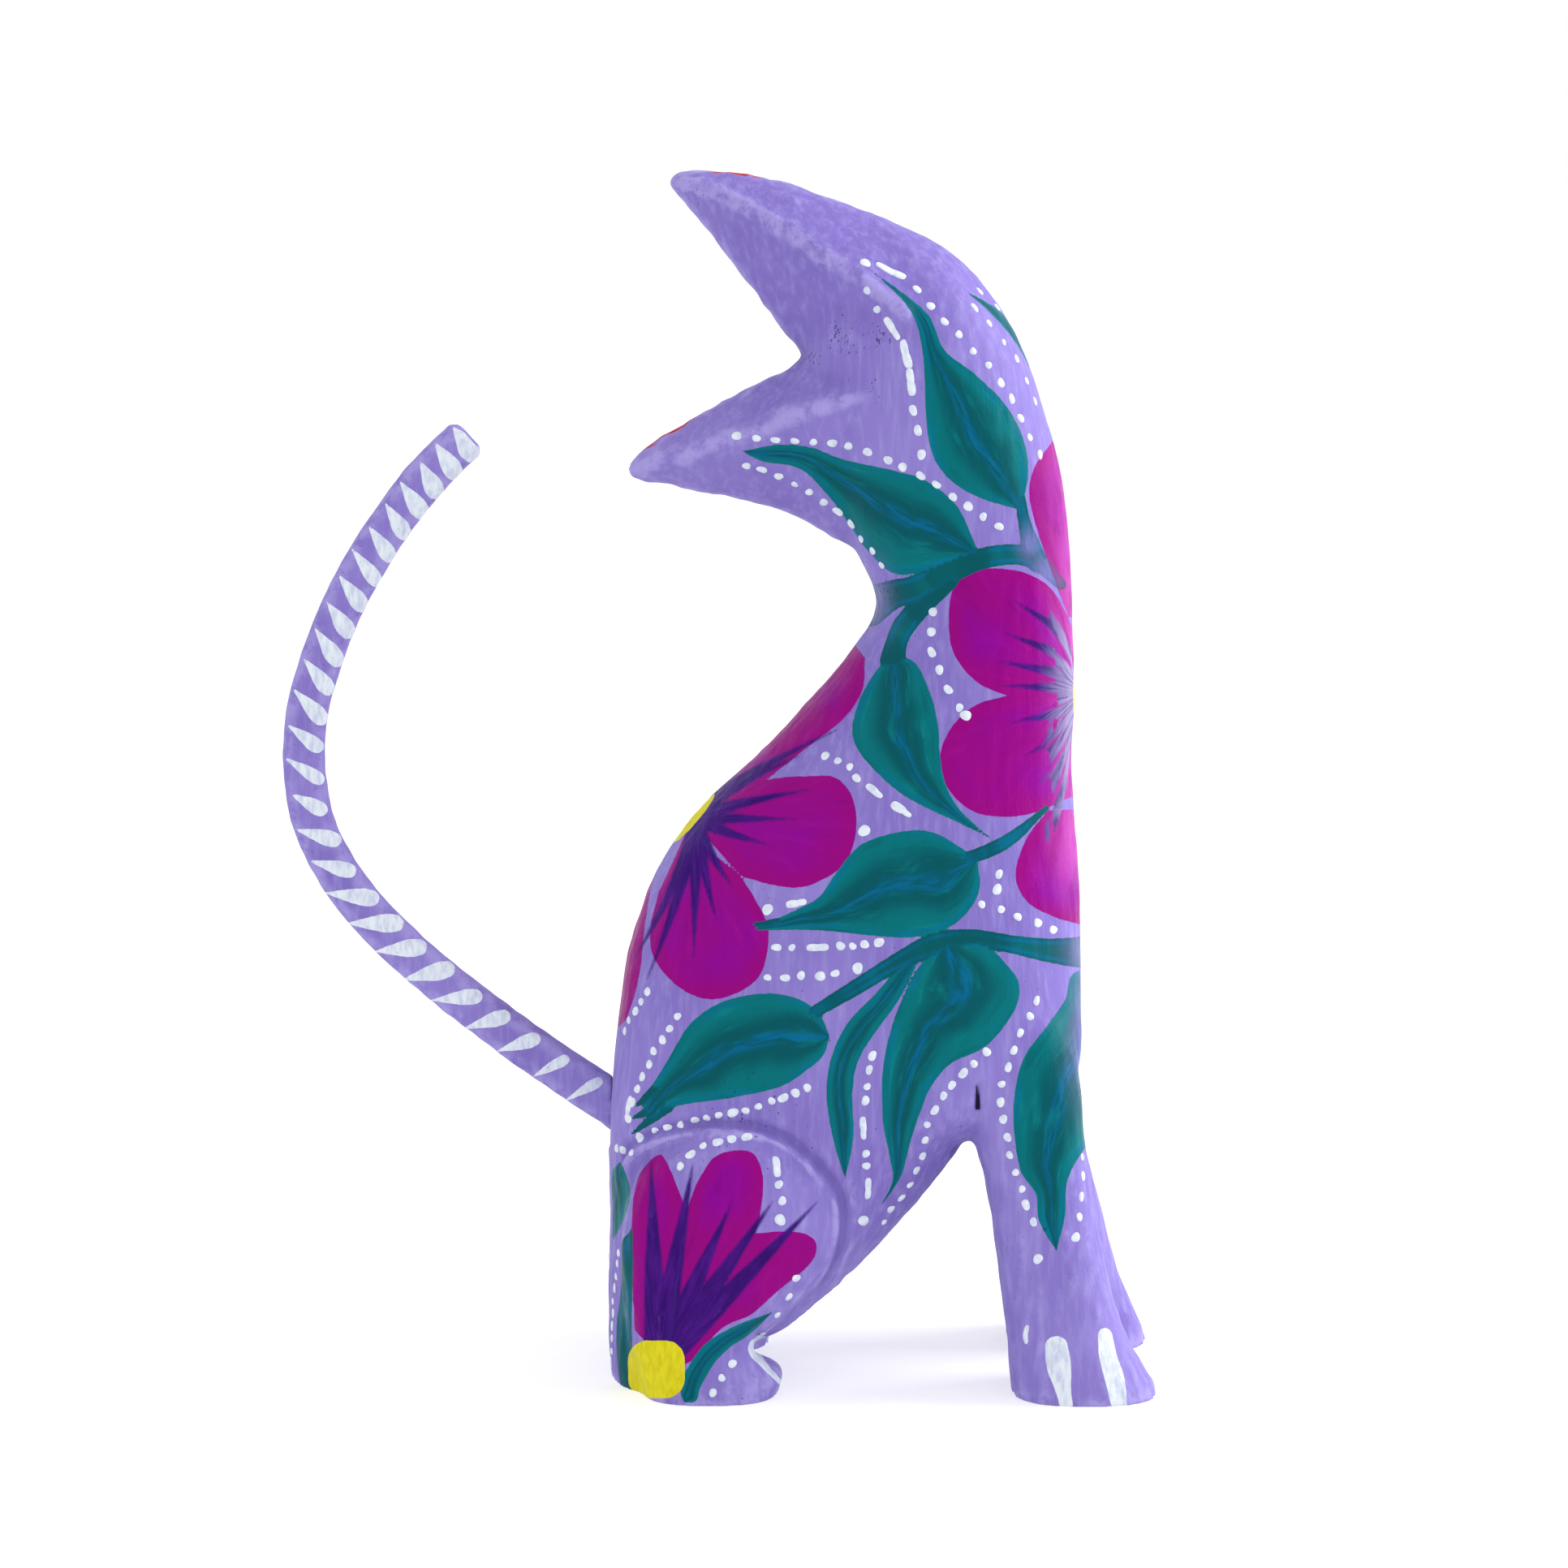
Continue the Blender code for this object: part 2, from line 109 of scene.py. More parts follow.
# Leaves: the two edges, both from tip to stem
LEAVES = {
    "crown": (
        ((25.4, 184.9), (32, 178.2), (34.3, 171), (35.2, 157), (37.8, 150.8), (43, 147), (50.5, 144.6)),
        ((25.4, 184.9), (34.8, 177.6), (38, 171.2), (43, 167.3), (48.4, 161.8), (51.3, 155.8), (51.9, 150),
         (50.5, 144.6)),
    ),
    "lower_ear": (
        ((4.2, 154.4), (10.4, 155.5), (15.8, 155), (21.2, 153), (29.4, 151.2), (35, 149.4), (40.2, 145),
         (43.7, 137.4)),
        ((4.2, 154.4), (7.7, 152.7), (13.8, 151.5), (18.5, 147.1), (22, 142.4), (25.4, 137.6), (31, 133.8),
         (43.7, 137.4)),
    ),
    "nape": (
        ((46, 89.7), (40.8, 92.3), (33.4, 95.8), (28.7, 99), (24, 104), (22.6, 108), (24, 113.4),
         (27.2, 118.6), (29.6, 120.6)),
        ((46, 89.7), (40.6, 94.6), (38, 99.4), (37.2, 104), (36.8, 109.4), (35.3, 114.8), (33, 119.2),
         (29.6, 120.6)),
    ),
    "flank": (
        ((5.8, 74.6), (13.8, 78.3), (17.2, 80.3), (20, 84.3), (24, 88.8), (30.5, 91), (36.4, 90.8),
         (43.4, 86.6)),
        ((5.8, 74.6), (17.2, 74.6), (30.7, 73.4), (37.5, 74.6), (41.6, 77.4), (43.8, 81.5), (43.4, 86.6)),
    ),
    "rump": (
        ((-12, 43.8), (-12, 46.4), (-8.3, 52.7), (-4.4, 59), (1, 62.7), (8, 64.1), (13.6, 63.2),
         (17.2, 60.6), (18.8, 57)),
        ((-12, 43.8), (-10.6, 43.2), (-8, 44.9), (-4.4, 45.8), (2.4, 46.7), (10.4, 48.5), (14.6, 51),
         (17.8, 53.8), (18.8, 57)),
    ),
    "belly_wide": (
        ((27.2, 28.4), (29.3, 33), (28.7, 37.6), (27.7, 43), (27.7, 51.2), (29, 57.9), (31, 63.4),
         (33.6, 68.4), (38, 73.4)),
        ((27.2, 28.4), (30.6, 33.4), (32.2, 39), (33.6, 43.4), (35.6, 48.4), (39, 52.4), (45, 55.4),
         (49.6, 61.2), (50.4, 65.6), (48.4, 68.8), (44.4, 72.4), (38, 73.4)),
    ),
    "belly_narrow": (
        ((21.4, 33), (19.3, 40.4), (18.3, 47.8), (19.3, 54), (22, 59.4), (26.6, 64.2), (31.4, 70)),
        ((21.4, 33), (22.8, 40.4), (22.6, 47), (23.4, 52.4), (26, 57), (30.2, 62.8), (33.4, 69)),
    ),
    "front_leg": (
        ((56.6, 21.2), (53.7, 26.2), (53.2, 30.6), (50.7, 34.4), (49.6, 40.4), (49.6, 47.1), (51.2, 53.4),
         (54.8, 58.4), (58, 63), (59.4, 67.4), (65, 69)),
        ((56.6, 21.2), (58, 27), (58.4, 32.8), (60.8, 37.6), (64, 42), (66, 50), (66.5, 58), (65, 69)),
    ),
    "neck_ridge": (
        ((41, 181.4), (45.5, 177.5), (49.4, 173), (52.6, 167.4), (54.3, 162.6), (56, 156.8), (58.4, 152)),
        ((41, 181.4), (47.2, 177.7), (50.6, 173.3), (54, 168.4), (57.6, 162), (60, 156), (60.5, 151)),
    ),
    "petal_sepal": (
        ((9.4, 11.1), (3.2, 8.8), (-1.8, 5.8), (-5, 1.4), (-6, -2.2), (-5.4, -4)),
        ((9.4, 11.1), (5.6, 7.4), (2, 5), (-0.6, 2.2), (-2.6, -1.4), (-3.4, -3.8), (-5.4, -4)),
    ),
    "bud": (
        ((-16, 36.2), (-18.5, 33), (-19.5, 28), (-18, 21.5)),
        ((-16, 36.2), (-14.6, 32.6), (-14.4, 30), (-15.4, 26.6), (-18, 21.5)),
    ),
}

# Stems and leaf ends drawn with one stroke: place and half width along each
STEMS = {
    "neck_band": (
        (25.4, 128.6, 3.4), (29.6, 130.6, 2.4), (33, 131.4, 2.3), (38, 134, 2.1), (43.8, 136.4, 1.8),
        (50, 137.2, 1.7), (54, 135.6, 1.5), (57.4, 132.2, 0.9),
    ),
    "crown_stem": ((50.6, 146.4, 0.9), (51.4, 142, 1.1), (52.6, 138, 1.7), (53.4, 136, 1.8)),
    "nape_stem": (
        (39, 132.8, 1.3), (34.6, 129, 1.7), (31.6, 125.8, 1.9), (30, 122.6, 1.8), (29.4, 119.6, 2.2),
    ),
    "flank_stem": ((31, 84.2, 0.4), (37, 85.6, 0.9), (42.4, 86.8, 1.1), (48.6, 89.6, 1.1), (55, 95, 0.4)),
    "flank_prong": ((10.2, 75.8, 0.9), (8, 75.6, 0.6), (6.2, 75.7, 0.25)),
    "branch": (
        (66, 71.4, 3), (60, 71, 2.5), (54.5, 71.4, 1.9), (48.5, 72.4, 1.5), (42.5, 73.2, 1.6),
        (36.4, 72.2, 2), (30.6, 69.6, 1.5), (23, 65, 1.3), (16, 60.8, 1), (13, 59, 0.5),
    ),
    "leg_side_tip": ((54.5, 24.6, 0.15), (54.2, 28, 0.6), (54.4, 31, 1)),
    "rump_prong_high": ((-9, 48.6, 1.4), (-11.4, 46.8, 0.9), (-13.4, 45.4, 0.25)),
    "rump_prong_middle": ((-9, 45.6, 1.2), (-11.6, 44.4, 0.8), (-13.8, 43.4, 0.25)),
    "rump_prong_low": ((-8, 45.2, 0.9), (-11.2, 42.9, 0.7), (-14, 40.8, 0.2)),
    "petal_stem": ((-14.6, 28.4, 0.4), (-15, 20, 1.1), (-15.6, 10, 1.5), (-15.8, 2, 2), (-14.6, -3.6, 2.2)),
}

# Flowers: the middle, the petals (a smooth edge, then straight closing points) and the dark streaks' ends
FLOWERS = {
    "chest": {
        "middle": (61.0, 114.2),
        "bend": 0.5,
        "petals": (
            (
                ((58.6, 126.8), (55.8, 134.3), (53.7, 140.4), (52.1, 147), (53, 151.8), (55.9, 156)),
                ((64, 158), (66, 126)),
            ),
            (
                ((48.5, 113.7), (44.2, 115.4), (40.8, 118.6), (38.9, 122.8), (39, 130.2), (42, 134.4),
                 (49.6, 134.6), (55, 132.2), (57.8, 128.2), (60.5, 122)),
                ((66, 120), (66, 113.6)),
            ),
            (
                ((48.5, 113.7), (42.9, 112), (38.8, 107.9), (37.1, 102.6), (38.8, 97.8), (42.8, 94.4),
                 (48.3, 93.5), (53.7, 94.4), (58, 96.4)),
                ((66, 99), (66, 114)),
            ),
            (
                ((55.2, 94.6), (51.8, 90.2), (49.8, 84), (51.7, 79.4), (56.4, 76.8), (60.6, 75.6)),
                ((66, 75), (66, 95)),
            ),
        ),
        "streaks": (
            (53.8, 138), (49.4, 129.6), (47.8, 124.2), (46.8, 119.4), (47.6, 115.4), (49, 109.2),
            (51.4, 103.8), (53.6, 99), (55.6, 93), (56.6, 85.4),
        ),
        "streaks_from": (66.5, 114.2),
        "streak_half_width": 1.35,
        "eye": 4.2,
    },
    "back": {
        "middle": (-3.4, 93.4),
        "bend": 0.35,
        "petals": (
            (
                ((24.7, 120), (24.3, 114.7), (21.2, 109.9), (15.8, 105.6), (9.1, 100.3), (2, 95)),
                ((-10, 100), (8, 124), (20, 126)),
            ),
            (
                ((3, 97.6), (9.1, 99.8), (15.8, 100.3), (19.9, 100), (22.6, 96.8), (23.3, 91.7),
                 (21.6, 86), (17.2, 82.8), (13.1, 81.7), (8.4, 82.4), (4, 83.7)),
                ((-3.4, 92),),
            ),
            (
                ((4, 83.7), (6.6, 79.5), (8.5, 75.5), (8.5, 71.2), (7, 66.8), (3, 64), (-1.8, 63.2),
                 (-6.6, 65.4), (-10.4, 70), (-11, 75), (-9.6, 81)),
                ((-5, 91),),
            ),
            (
                ((-11, 81.6), (-12.1, 74.1), (-12.8, 67.4), (-14.7, 60.6), (-16.2, 58.6)),
                ((-22, 60), (-18, 80), (-8, 92)),
            ),
        ),
        "streaks": (
            (20, 108), (14, 103.8), (16.2, 98.2), (13.2, 93.1), (9, 88.7), (2.8, 81.6), (0, 76.2),
            (-3.8, 70), (-11.6, 66.4), (-13.6, 70),
        ),
        "streaks_from": (-3.4, 93.4),
        "streak_half_width": 0.85,
        "eye": 5.2,
    },
    "haunch": {
        "middle": (-10.0, 1.6),
        "bend": 0.0,
        "petals": (
            (
                ((-13.6, 8), (-14.2, 20), (-13.9, 29.4), (-12.6, 34.3), (-9.8, 37.2), (-8.4, 36.2),
                 (-6.4, 31.6), (-5, 28)),
                ((-9, 3),),
            ),
            (
                ((-5, 28), (-3.1, 32.8), (-0.4, 36.8), (3.4, 38), (6.3, 37.3), (7.7, 33.6), (7.5, 28.6),
                 (6.5, 24.2)),
                ((-8, 2),),
            ),
            (
                ((6.5, 24.2), (12.5, 24.5), (15.9, 23.5), (16.7, 21.4), (15.2, 18.7), (10.4, 14.7),
                 (5.7, 10.6), (1, 8.4), (-4, 3)),
                ((-8, 1),),
            ),
        ),
        "streaks": ((-10.9, 36.4), (-3.9, 36), (2.6, 29.4), (9.6, 29.8), (16.8, 29.4)),
        "streaks_from": (-10.0, 1.6),
        "streak_half_width": 1.5,
    },
}

# A streak's half width from its root to its tip, as shares of its flower's
STREAK_TAPER = (1.3, 1.25, 0.95, 0.5, 0.04)

# Yellow centre low on the haunch: middle, half sides, corner radius
HAUNCH_CENTRE = (-10.0, 1.5)
HAUNCH_CENTRE_HALF = (4.7, 4.8)
HAUNCH_CENTRE_CORNER = 3.2
HAUNCH_CENTRE_Y = 16.0

# White brush marks: toes, hind paw edge
WHITE_STROKES = (
    ((56.6, 5.2, 1.9), (57, 2, 2.05), (57.8, -2, 1.3), (58.4, -5.4, 1)),
    ((64.7, 7.2, 1.2), (65.2, 3.6, 1.45), (66.4, -0.6, 1.6), (67.2, -5.4, 1.2)),
    ((51.8, 8.7, 0.3), (51.4, 7.4, 0.45), (51.6, 6, 0.35)),
    ((7.4, 6.4, 0.9), (6.2, 4.9, 1), (7.6, 2.6, 0.6), (10.9, -0.9, 0.35)),
)

# Rows of white dots: places along the row, and how many dots
DOT_ROWS = (
    (((33.4, 181.3), (40, 174), (47.1, 166.3), (54.2, 153.9)), 11), (((25, 181.2), (26.7, 178.2)), 2),
    (((33.1, 161.3), (34, 153.9)), 3),
    (((3.4, 156.8), (12.5, 156.1), (21.2, 155.6), (33, 150.8), (41, 145.8), (47.2, 141.7)), 16),
    (((5, 152.1), (12.9, 149), (21.4, 143.1), (27.5, 135.3)), 11),
    (((42.6, 178.6), (49.4, 170.8), (53.1, 162.5)), 6), (((44, 180.8), (47, 178.4)), 2),
    (((36.5, 127.6), (35.7, 122.4), (37.9, 116), (40.2, 111.8)), 6),
    (((18.1, 103.6), (21.8, 102.2), (23.5, 100)), 4), (((10, 71.8), (12.7, 71.7)), 2),
    (((20.6, 71.8), (26.9, 72.5)), 4), (((8.5, 67), (17, 67), (20, 67.5)), 5),
    (((47.1, 84), (46.9, 81.6)), 2), (((44.1, 79), (49.9, 77.2), (56.4, 74.5)), 5),
    (((-11.5, 64.4), (-13.8, 60.8), (-15.4, 58)), 5), (((-6.6, 60.4), (-11, 53.2), (-13.9, 46)), 8),
    (((-10.1, 41.2), (-2.3, 43.3), (6.4, 45.1), (15.2, 48.4)), 13), (((-16.7, 38.3), (-14.2, 37.8)), 3),
    (((-6, 35.5), (-2, 38.9), (5, 40.1)), 6), (((10.3, 32.2), (10.7, 29.4)), 2),
    (((13.3, 16.7), (11.5, 12.2), (7.9, 7.5)), 4), (((2.5, 2.6), (-0.5, -2.5)), 3),
    (((25.7, 53.7), (24.8, 46.2)), 4), (((24.9, 37.5), (25, 35.4)), 2),
    (((44.9, 54.1), (39.2, 49), (35.7, 43.2), (33.3, 34), (27.9, 25.9)), 14),
    (((53.4, 62.8), (48.4, 51.6), (47.7, 43), (50.3, 33.3), (52.8, 26)), 14), (((61.1, 37), (60.3, 27)), 4),
    (((-16.4, 21), (-17.2, 12), (-17.5, 2.6)), 10),
)
BIG_DOTS = (
    (41.5, 110.4), (24.6, 91.2), (24.4, 26.3), (53.5, 19.9), (10.6, 26.4), (-12.7, 40.1), (59.8, 23.5),
    (23.5, 68.3), (-14.7, 43.3), (8.5, 78.1), (24.8, 185.8),
)
DASHES = (
    ((27.3, 185.2), (30.7, 183.6)), ((28.5, 176), (30, 173.6)), ((31.1, 172.3), (31.9, 169)),
    ((32.2, 167.5), (32.5, 164.4)), ((25.6, 98.4), (27, 97.2)), ((29.8, 95.4), (31.8, 94)),
    ((12.2, 78.9), (14.3, 79.3)), ((15.7, 71.7), (17.9, 71.8)), ((9.9, 36.4), (10.1, 34.2)),
    ((24.4, 42.9), (24.5, 40.4)), ((25.3, 32.8), (25.2, 30.4)), ((-14.8, 44.6), (-14.4, 46.4)),
)
DOT_RADIUS = 0.69
BIG_DOT_RADIUS = 0.95
BACK_ROW_HEIGHTS = (34.0, 6.0)
BACK_ROW_DOTS = 10
# Smallest and largest dot in a row, as shares of the usual one
DOT_SIZES = (0.88, 1.14)
DOT_RISE = 0.2
DOT_SINK = 0.06
DOT_SIDES = 18
DOT_RINGS = (0.34, 0.68, 0.9, 1.0)

# Carved rim of the thigh, drawn round from the back of the haunch to the knee
THIGH_RIM = (
    (-17, 34), (-14.6, 37.6), (-11.2, 39.7), (-5.8, 41.3), (0, 41.7), (6.4, 41.2), (11.8, 39), (16.5, 34.9),
    (19.9, 30.2), (20.6, 25.5), (19.6, 20.8), (17.2, 16), (13.1, 12), (9, 8),
)
THIGH_MIDDLE = (0.0, 22.0)
RIM_RISE = 0.6
RIM_WIDTH = 0.8
RIM_PLACE = 0.9
GROOVE_DEPTH = 0.65
GROOVE_WIDTH = 0.75
KERF_DENT = 1.2
KERF_MAX_Y = -8.0
THIGH_FOOT = (-30.0, 0.0)
THIGH_REACH = (26.0, 48.0)
THIGH_FROM_Y = 14.0
# Where the ears fade in: heights, and places across the painter's plane, counted the other way
EARS_ABOVE = (142, 150)
EARS_BEFORE = (-22, -12)
# Where the painted sheen on the front of the chest fades in: places across the painter's plane, and heights
CHEST_SHEEN_ACROSS = (53, 61)
CHEST_SHEEN_ABOVE = (76, 90)
# Knife flats: their height and their size
BODY_FLATS = (0.16, 7.0)
TAIL_FLATS = (0.10, 4.5)
# The carving fades out over this height above the flat base, and what lies lower than the snap is flat
FOOT_EASE = 1.2
GROUND_SNAP = 0.12

# Saw cut above the crotch, and the sharp notches between the ears and over the hind foot
KERF = ((43.5, 48.6, 0.28), (43.5, 45, 0.42))
# Each notch: place on the painter's plane, how far it is cut towards +X, spread
NOTCHES = (((13.6, 170.3), 0.7, 1.2), ((9.2, 5.2), -3.0, 1.9))

# Groups of open pores and torn grain: place, spread and strength
PORE_GROUPS = (
    ((20.5, 173.4), 3.2, 1.0), ((27, 173.5), 2.6, 1.0), ((15.4, 170), 2.2, 0.8), ((25.5, 165.6), 2.5, 0.6),
    ((-4, 199), 3.0, 0.5), ((3, 44.6), 9.0, 0.5), ((28.5, 131), 3.0, 0.7),
)

# Face, in its own frame: its middle, and how far its crown leans up from -X
FACE_MIDDLE = (34.6, 166.4)
HEAD_LEAN_DEG = 13.0
FACE_START_Z = 139.0
FACE_EDGE_Y = 3.5

# Its features, across and up from the middle, on the half that side +1 paints
EYE_PLACE = (9.4, 6.8)
EYE_SIZE = (9.6, 5.6)
EYE_TILT_DEG = 14
EYE_RIM = 0.34
IRIS_RADIUS = 2.3
PUPIL_SIZE = (4.2, 1.7)
BROW = ((3.4, 10.4, 0.3), (7.4, 13.2, 0.9), (12, 13.6, 0.8), (16, 11.6, 0.1))
CHEEK_INNER = ((15.6, 1), (13.4, -2.6), (10.2, -5.6), (8, -7.6))
CHEEK_OUTER = ((15.6, 1), (16.4, -3.4), (13.2, -7), (8, -7.6))
MOUTH = ((0, -7.6, 0.3), (1.6, -9, 0.34), (3.8, -9.2, 0.34), (5.6, -7.8, 0.1))
CREST = ((0, 24), (2.6, 20.6), (3.2, 17), (0, 12.4))
WHISKERS = 3
NOSE = ((-2.9, -1.2), (0, -0.6), (2.9, -1.2), (1.5, -3.4), (0, -4.4), (-1.5, -3.4), (-2.9, -1.2))
NOSE_LINE = ((0, -4.2, 0.3), (0, -6, 0.3), (0, -7.8, 0.3))
# Rows of dots on the face: places on one half or down the middle, and how many dots
BROW_DOTS = (((4, 15.4), (9, 17.4), (14, 16.4)), 5)
CHEEK_DOTS = (((18.6, 6), (18.4, -2), (15.6, -9.6), (9, -15.6)), 9)
NOSE_DOTS = (((0, 9.6), (0, 3)), 4)

# Red insides of the ears on the +Y side: lower edge and upper edge, both from the tip
EAR_LININGS = (
    (
        ((-5.4, 199), (-1.6, 194.2), (3, 188.4), (8, 181.4), (13, 176.2), (19, 173)),
        ((-5.4, 199), (-3.6, 202.4), (2, 202.6), (9, 201), (12, 198.4), (17, 195), (21, 188), (22.4, 180),
         (19, 173)),
    ),
    (
        ((-13.2, 151.6), (-8, 150.3), (-1, 149.6), (6, 149.2), (12, 150.4), (16.4, 155)),
        ((-13.2, 151.6), (-13.4, 156), (-7, 161), (0, 164), (4, 164.8), (10, 166.4), (15.6, 164),
         (16.4, 155)),
    ),
)

# Where the red shows over the ears' rims: middle and reach in x, lowest and highest z
RED_RIMS = ((3, 6, 196, 999), (-6.5, 6.5, 152, 166))

# Teardrops on the tail: its line from root to tip, and how many
TAIL_LINE = (
    (-20.6, 47), (-26.5, 51.1), (-33.6, 56.1), (-38.8, 59.8), (-46.7, 66.2), (-54.5, 73.3), (-60.7, 80.3),
    (-65.1, 87.4), (-67.8, 95), (-68.7, 103), (-68, 111), (-65.8, 119), (-62.2, 128), (-57.3, 137),
    (-51.4, 145.6), (-45.5, 152.5), (-41.2, 156.8),
)
TEARDROPS = 26
# A drop's outline: share of its length from its middle, share of its half width
DROP_OUTLINE = ((-0.5, 0.04), (-0.2, 0.5), (0.1, 0.92), (0.28, 1.0), (0.36, 0.9))
# Share of the tail's length, turn from its line, length and half width, from root to tip
TEARDROP_SHAPES = (
    (0.0, -114, 7.0, 0.95), (0.06, -119, 7.4, 1.0), (0.15, -129, 9.0, 1.3), (0.3, -131, 9.2, 1.5),
    (0.42, -131, 8.2, 1.4), (0.5, -124, 7.2, 1.2), (0.62, -127, 7.4, 1.35), (0.75, -120, 7.4, 1.4),
    (0.88, -108, 6.8, 1.45), (0.95, -104, 6.4, 1.6), (1.0, -98, 6.0, 2.1),
)

# Motifs that stay on the near side, and those that end on the back before its middle
NEAR_ONLY = ("crown", "lower_ear", "crown_stem")
NEAR_EDGE_Y = 2.0
CHEST_EDGE_Y = 6.0
LEG_EDGE_Y = 6.5
# The legs' inner faces stay plain below this height, over a fade of LEG_FADE
LEG_TOP = 86.0
LEG_FADE = 16.0
BUD_EDGE_Y = 8.0
STEM_EDGE_Y = 13.0

# Where the chest flower's streaks cross on to the front, on the painter's plane, and how far out in y that is
FAN_EDGE = 60.0
FAN_REACH = 12.5
FAN_HALF_WIDTHS = (0.3, 0.8, 1.2)
CHEST_FACING = 0.72
CHEST_MIN_X = 45.0
CHEST_HEIGHTS = (80.0, 150.0)

# The far side's drift: how much, where it begins across the figure, and where the back's facing ends it
FAR_SIDE_WANDER = 1.4
WANDER_SIZE = 18
FAR_BLEND = (3, 12)
BACK_FACING = (-0.95, -0.5)
DOWEL_DIAMETER = 3.6
# Bare wood in the socket: how far from its axis, in dowel diameters, and how far out past the seat
SOCKET_REACH = 0.72
SOCKET_LIP = 0.4
# The dowel's eased end: how far in from its radius and along from its end
PEG_END = ((0.55, 0.0), (0.15, 0.18), (0.03, 0.5))
PEG_RING_STEP = 0.4
PEG_RING_DEPTH = 0.02
PEG_SIDES = 48


def srgb(red, green, blue):
    """A linear colour from 8-bit display values."""
    shares = [v / 255 for v in (red, green, blue)]
    return tuple(s / 12.92 if s <= 0.04045 else ((s + 0.055) / 1.055) ** 2.4 for s in shares)


# ---------------------------------------------------------------- lines and noise


def smooth_line(points, step=0.8):
    """A Catmull-Rom line through the points, with a point about every step millimetres."""
    knots = np.array(points, float)
    padded = np.vstack([2 * knots[0] - knots[1], knots, 2 * knots[-1] - knots[-2]])
    runs = []
    for p0, p1, p2, p3 in zip(padded, padded[1:], padded[2:], padded[3:]):
        count = max(2, int(np.linalg.norm((p2 - p1)[:2]) / step) + 1)
        t = np.linspace(0, 1, count, endpoint=False)[:, None]
        square = (2 * p0 - 5 * p1 + 4 * p2 - p3) * t**2
        cube = (3 * p1 - p0 - 3 * p2 + p3) * t**3
        runs.append(0.5 * (2 * p1 + (p2 - p0) * t + square + cube))
    return np.vstack(runs + [knots[-1:]])


def spaced(line, count):
    """Places at equal spacing along a line, its two ends among them."""
    lengths = np.concatenate([[0], np.cumsum(np.linalg.norm(np.diff(line[:, :2], axis=0), axis=1))])
    stops = np.linspace(0, lengths[-1], count)
    return np.column_stack([np.interp(stops, lengths, column) for column in line.T])


def nearest_on(line, spots):
    """For each spot: distance to the line, the nearest place's row in it, and the length up to there."""
    start = line[:-1, :2]
    run = np.diff(line[:, :2], axis=0)
    squared = np.maximum((run**2).sum(1), 1e-12)
    offset = spots[:, None] - start
    share = np.clip((offset * run).sum(2) / squared, 0, 1)
    gap = np.sqrt(((offset - share[..., None] * run) ** 2).sum(2))
    best = gap.argmin(1)
    rows = np.arange(len(spots))
    lengths = np.concatenate([[0], np.cumsum(np.sqrt(squared))])
    place = best + share[rows, best]
    return gap[rows, best], place, np.interp(place, np.arange(len(line)), lengths)


def inside(outline, spots):
    """Which spots lie inside a closed outline."""
    x, y = spots[:, 0, None], spots[:, 1, None]
    x0, y0 = outline.T
    x1, y1 = np.roll(outline, -1, axis=0).T
    rise = np.where(np.abs(y1 - y0) < 1e-12, 1e-12, y1 - y0)
    crossed = ((y0 > y) != (y1 > y)) & (x < (x1 - x0) * (y - y0) / rise + x0)
    return crossed.sum(1) % 2 == 1


def depth_in(outline, spots):
    """How far inside a closed outline each spot lies; negative outside."""
    closed = np.vstack([outline, outline[:1]])
    gap = nearest_on(closed, spots)[0]
    return np.where(inside(outline, spots), gap, -gap)


def depth_in_stroke(stroke, spots):
    """How far inside a stroke of changing half width each spot lies, and the length along it."""
    gap, place, length = nearest_on(stroke, spots)
    return np.interp(place, np.arange(len(stroke)), stroke[:, 2]) - gap, length


def patches(spots, groups):
    """The strongest of some soft patches at each spot; each is a place, its spread and its strength."""
    strongest = np.zeros(len(spots))
    for place, spread, strength in groups:
        strongest = np.maximum(strongest, strength * np.exp(-(((spots - place) / spread) ** 2).sum(1)))
    return strongest


def waves(points, size, seed, count=20):
    """Smooth noise, mostly within -1 to 1, with humps about size millimetres long: a seeded sum of waves."""
    draw = np.random.default_rng(SEED + seed)
    heading = draw.normal(size=(points.shape[1], count))
    heading /= np.linalg.norm(heading, axis=0)
    turns = math.pi / size * draw.uniform(0.7, 1.4, count)
    phases = draw.uniform(0, 2 * math.pi, count)
    return np.sin(points @ (heading * turns) + phases).sum(1) / math.sqrt(1.5 * count)


def ease(value, low, high):
    """0 below low, 1 above high, smooth between."""
    t = np.clip((value - low) / (high - low), 0, 1)
    return t * t * (3 - 2 * t)


# ---------------------------------------------------------------- skins


def add_object(name, data):
    """A new object in the scene."""
    made = bpy.data.objects.new(name, data)
    bpy.context.scene.collection.objects.link(made)
    return made


def fine_copy(node, name, voxel):
    """An even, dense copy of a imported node's skin, as a new object."""
    piece = add_object(name, frame["nodes"][node].data.copy())
    remesh = piece.modifiers.new("skin", "REMESH")
    remesh.mode = "VOXEL"
    remesh.voxel_size = voxel * MM
    evaluated = piece.evaluated_get(bpy.context.evaluated_depsgraph_get())
    mesh = bpy.data.meshes.new_from_object(evaluated)
    piece.modifiers.clear()
    piece.data = mesh
    mesh.materials.clear()
    mesh.shade_smooth()
    return piece


def places(mesh):
    """The vertices in millimetres."""
    flat = np.empty(len(mesh.vertices) * 3, np.float32)
    mesh.vertices.foreach_get("co", flat)
    return flat.reshape(-1, 3).astype(float) / MM


def put_places(mesh, points):
    """Moves the vertices to places in millimetres."""
    mesh.vertices.foreach_set("co", (points * MM).astype(np.float32).ravel())
    mesh.update()


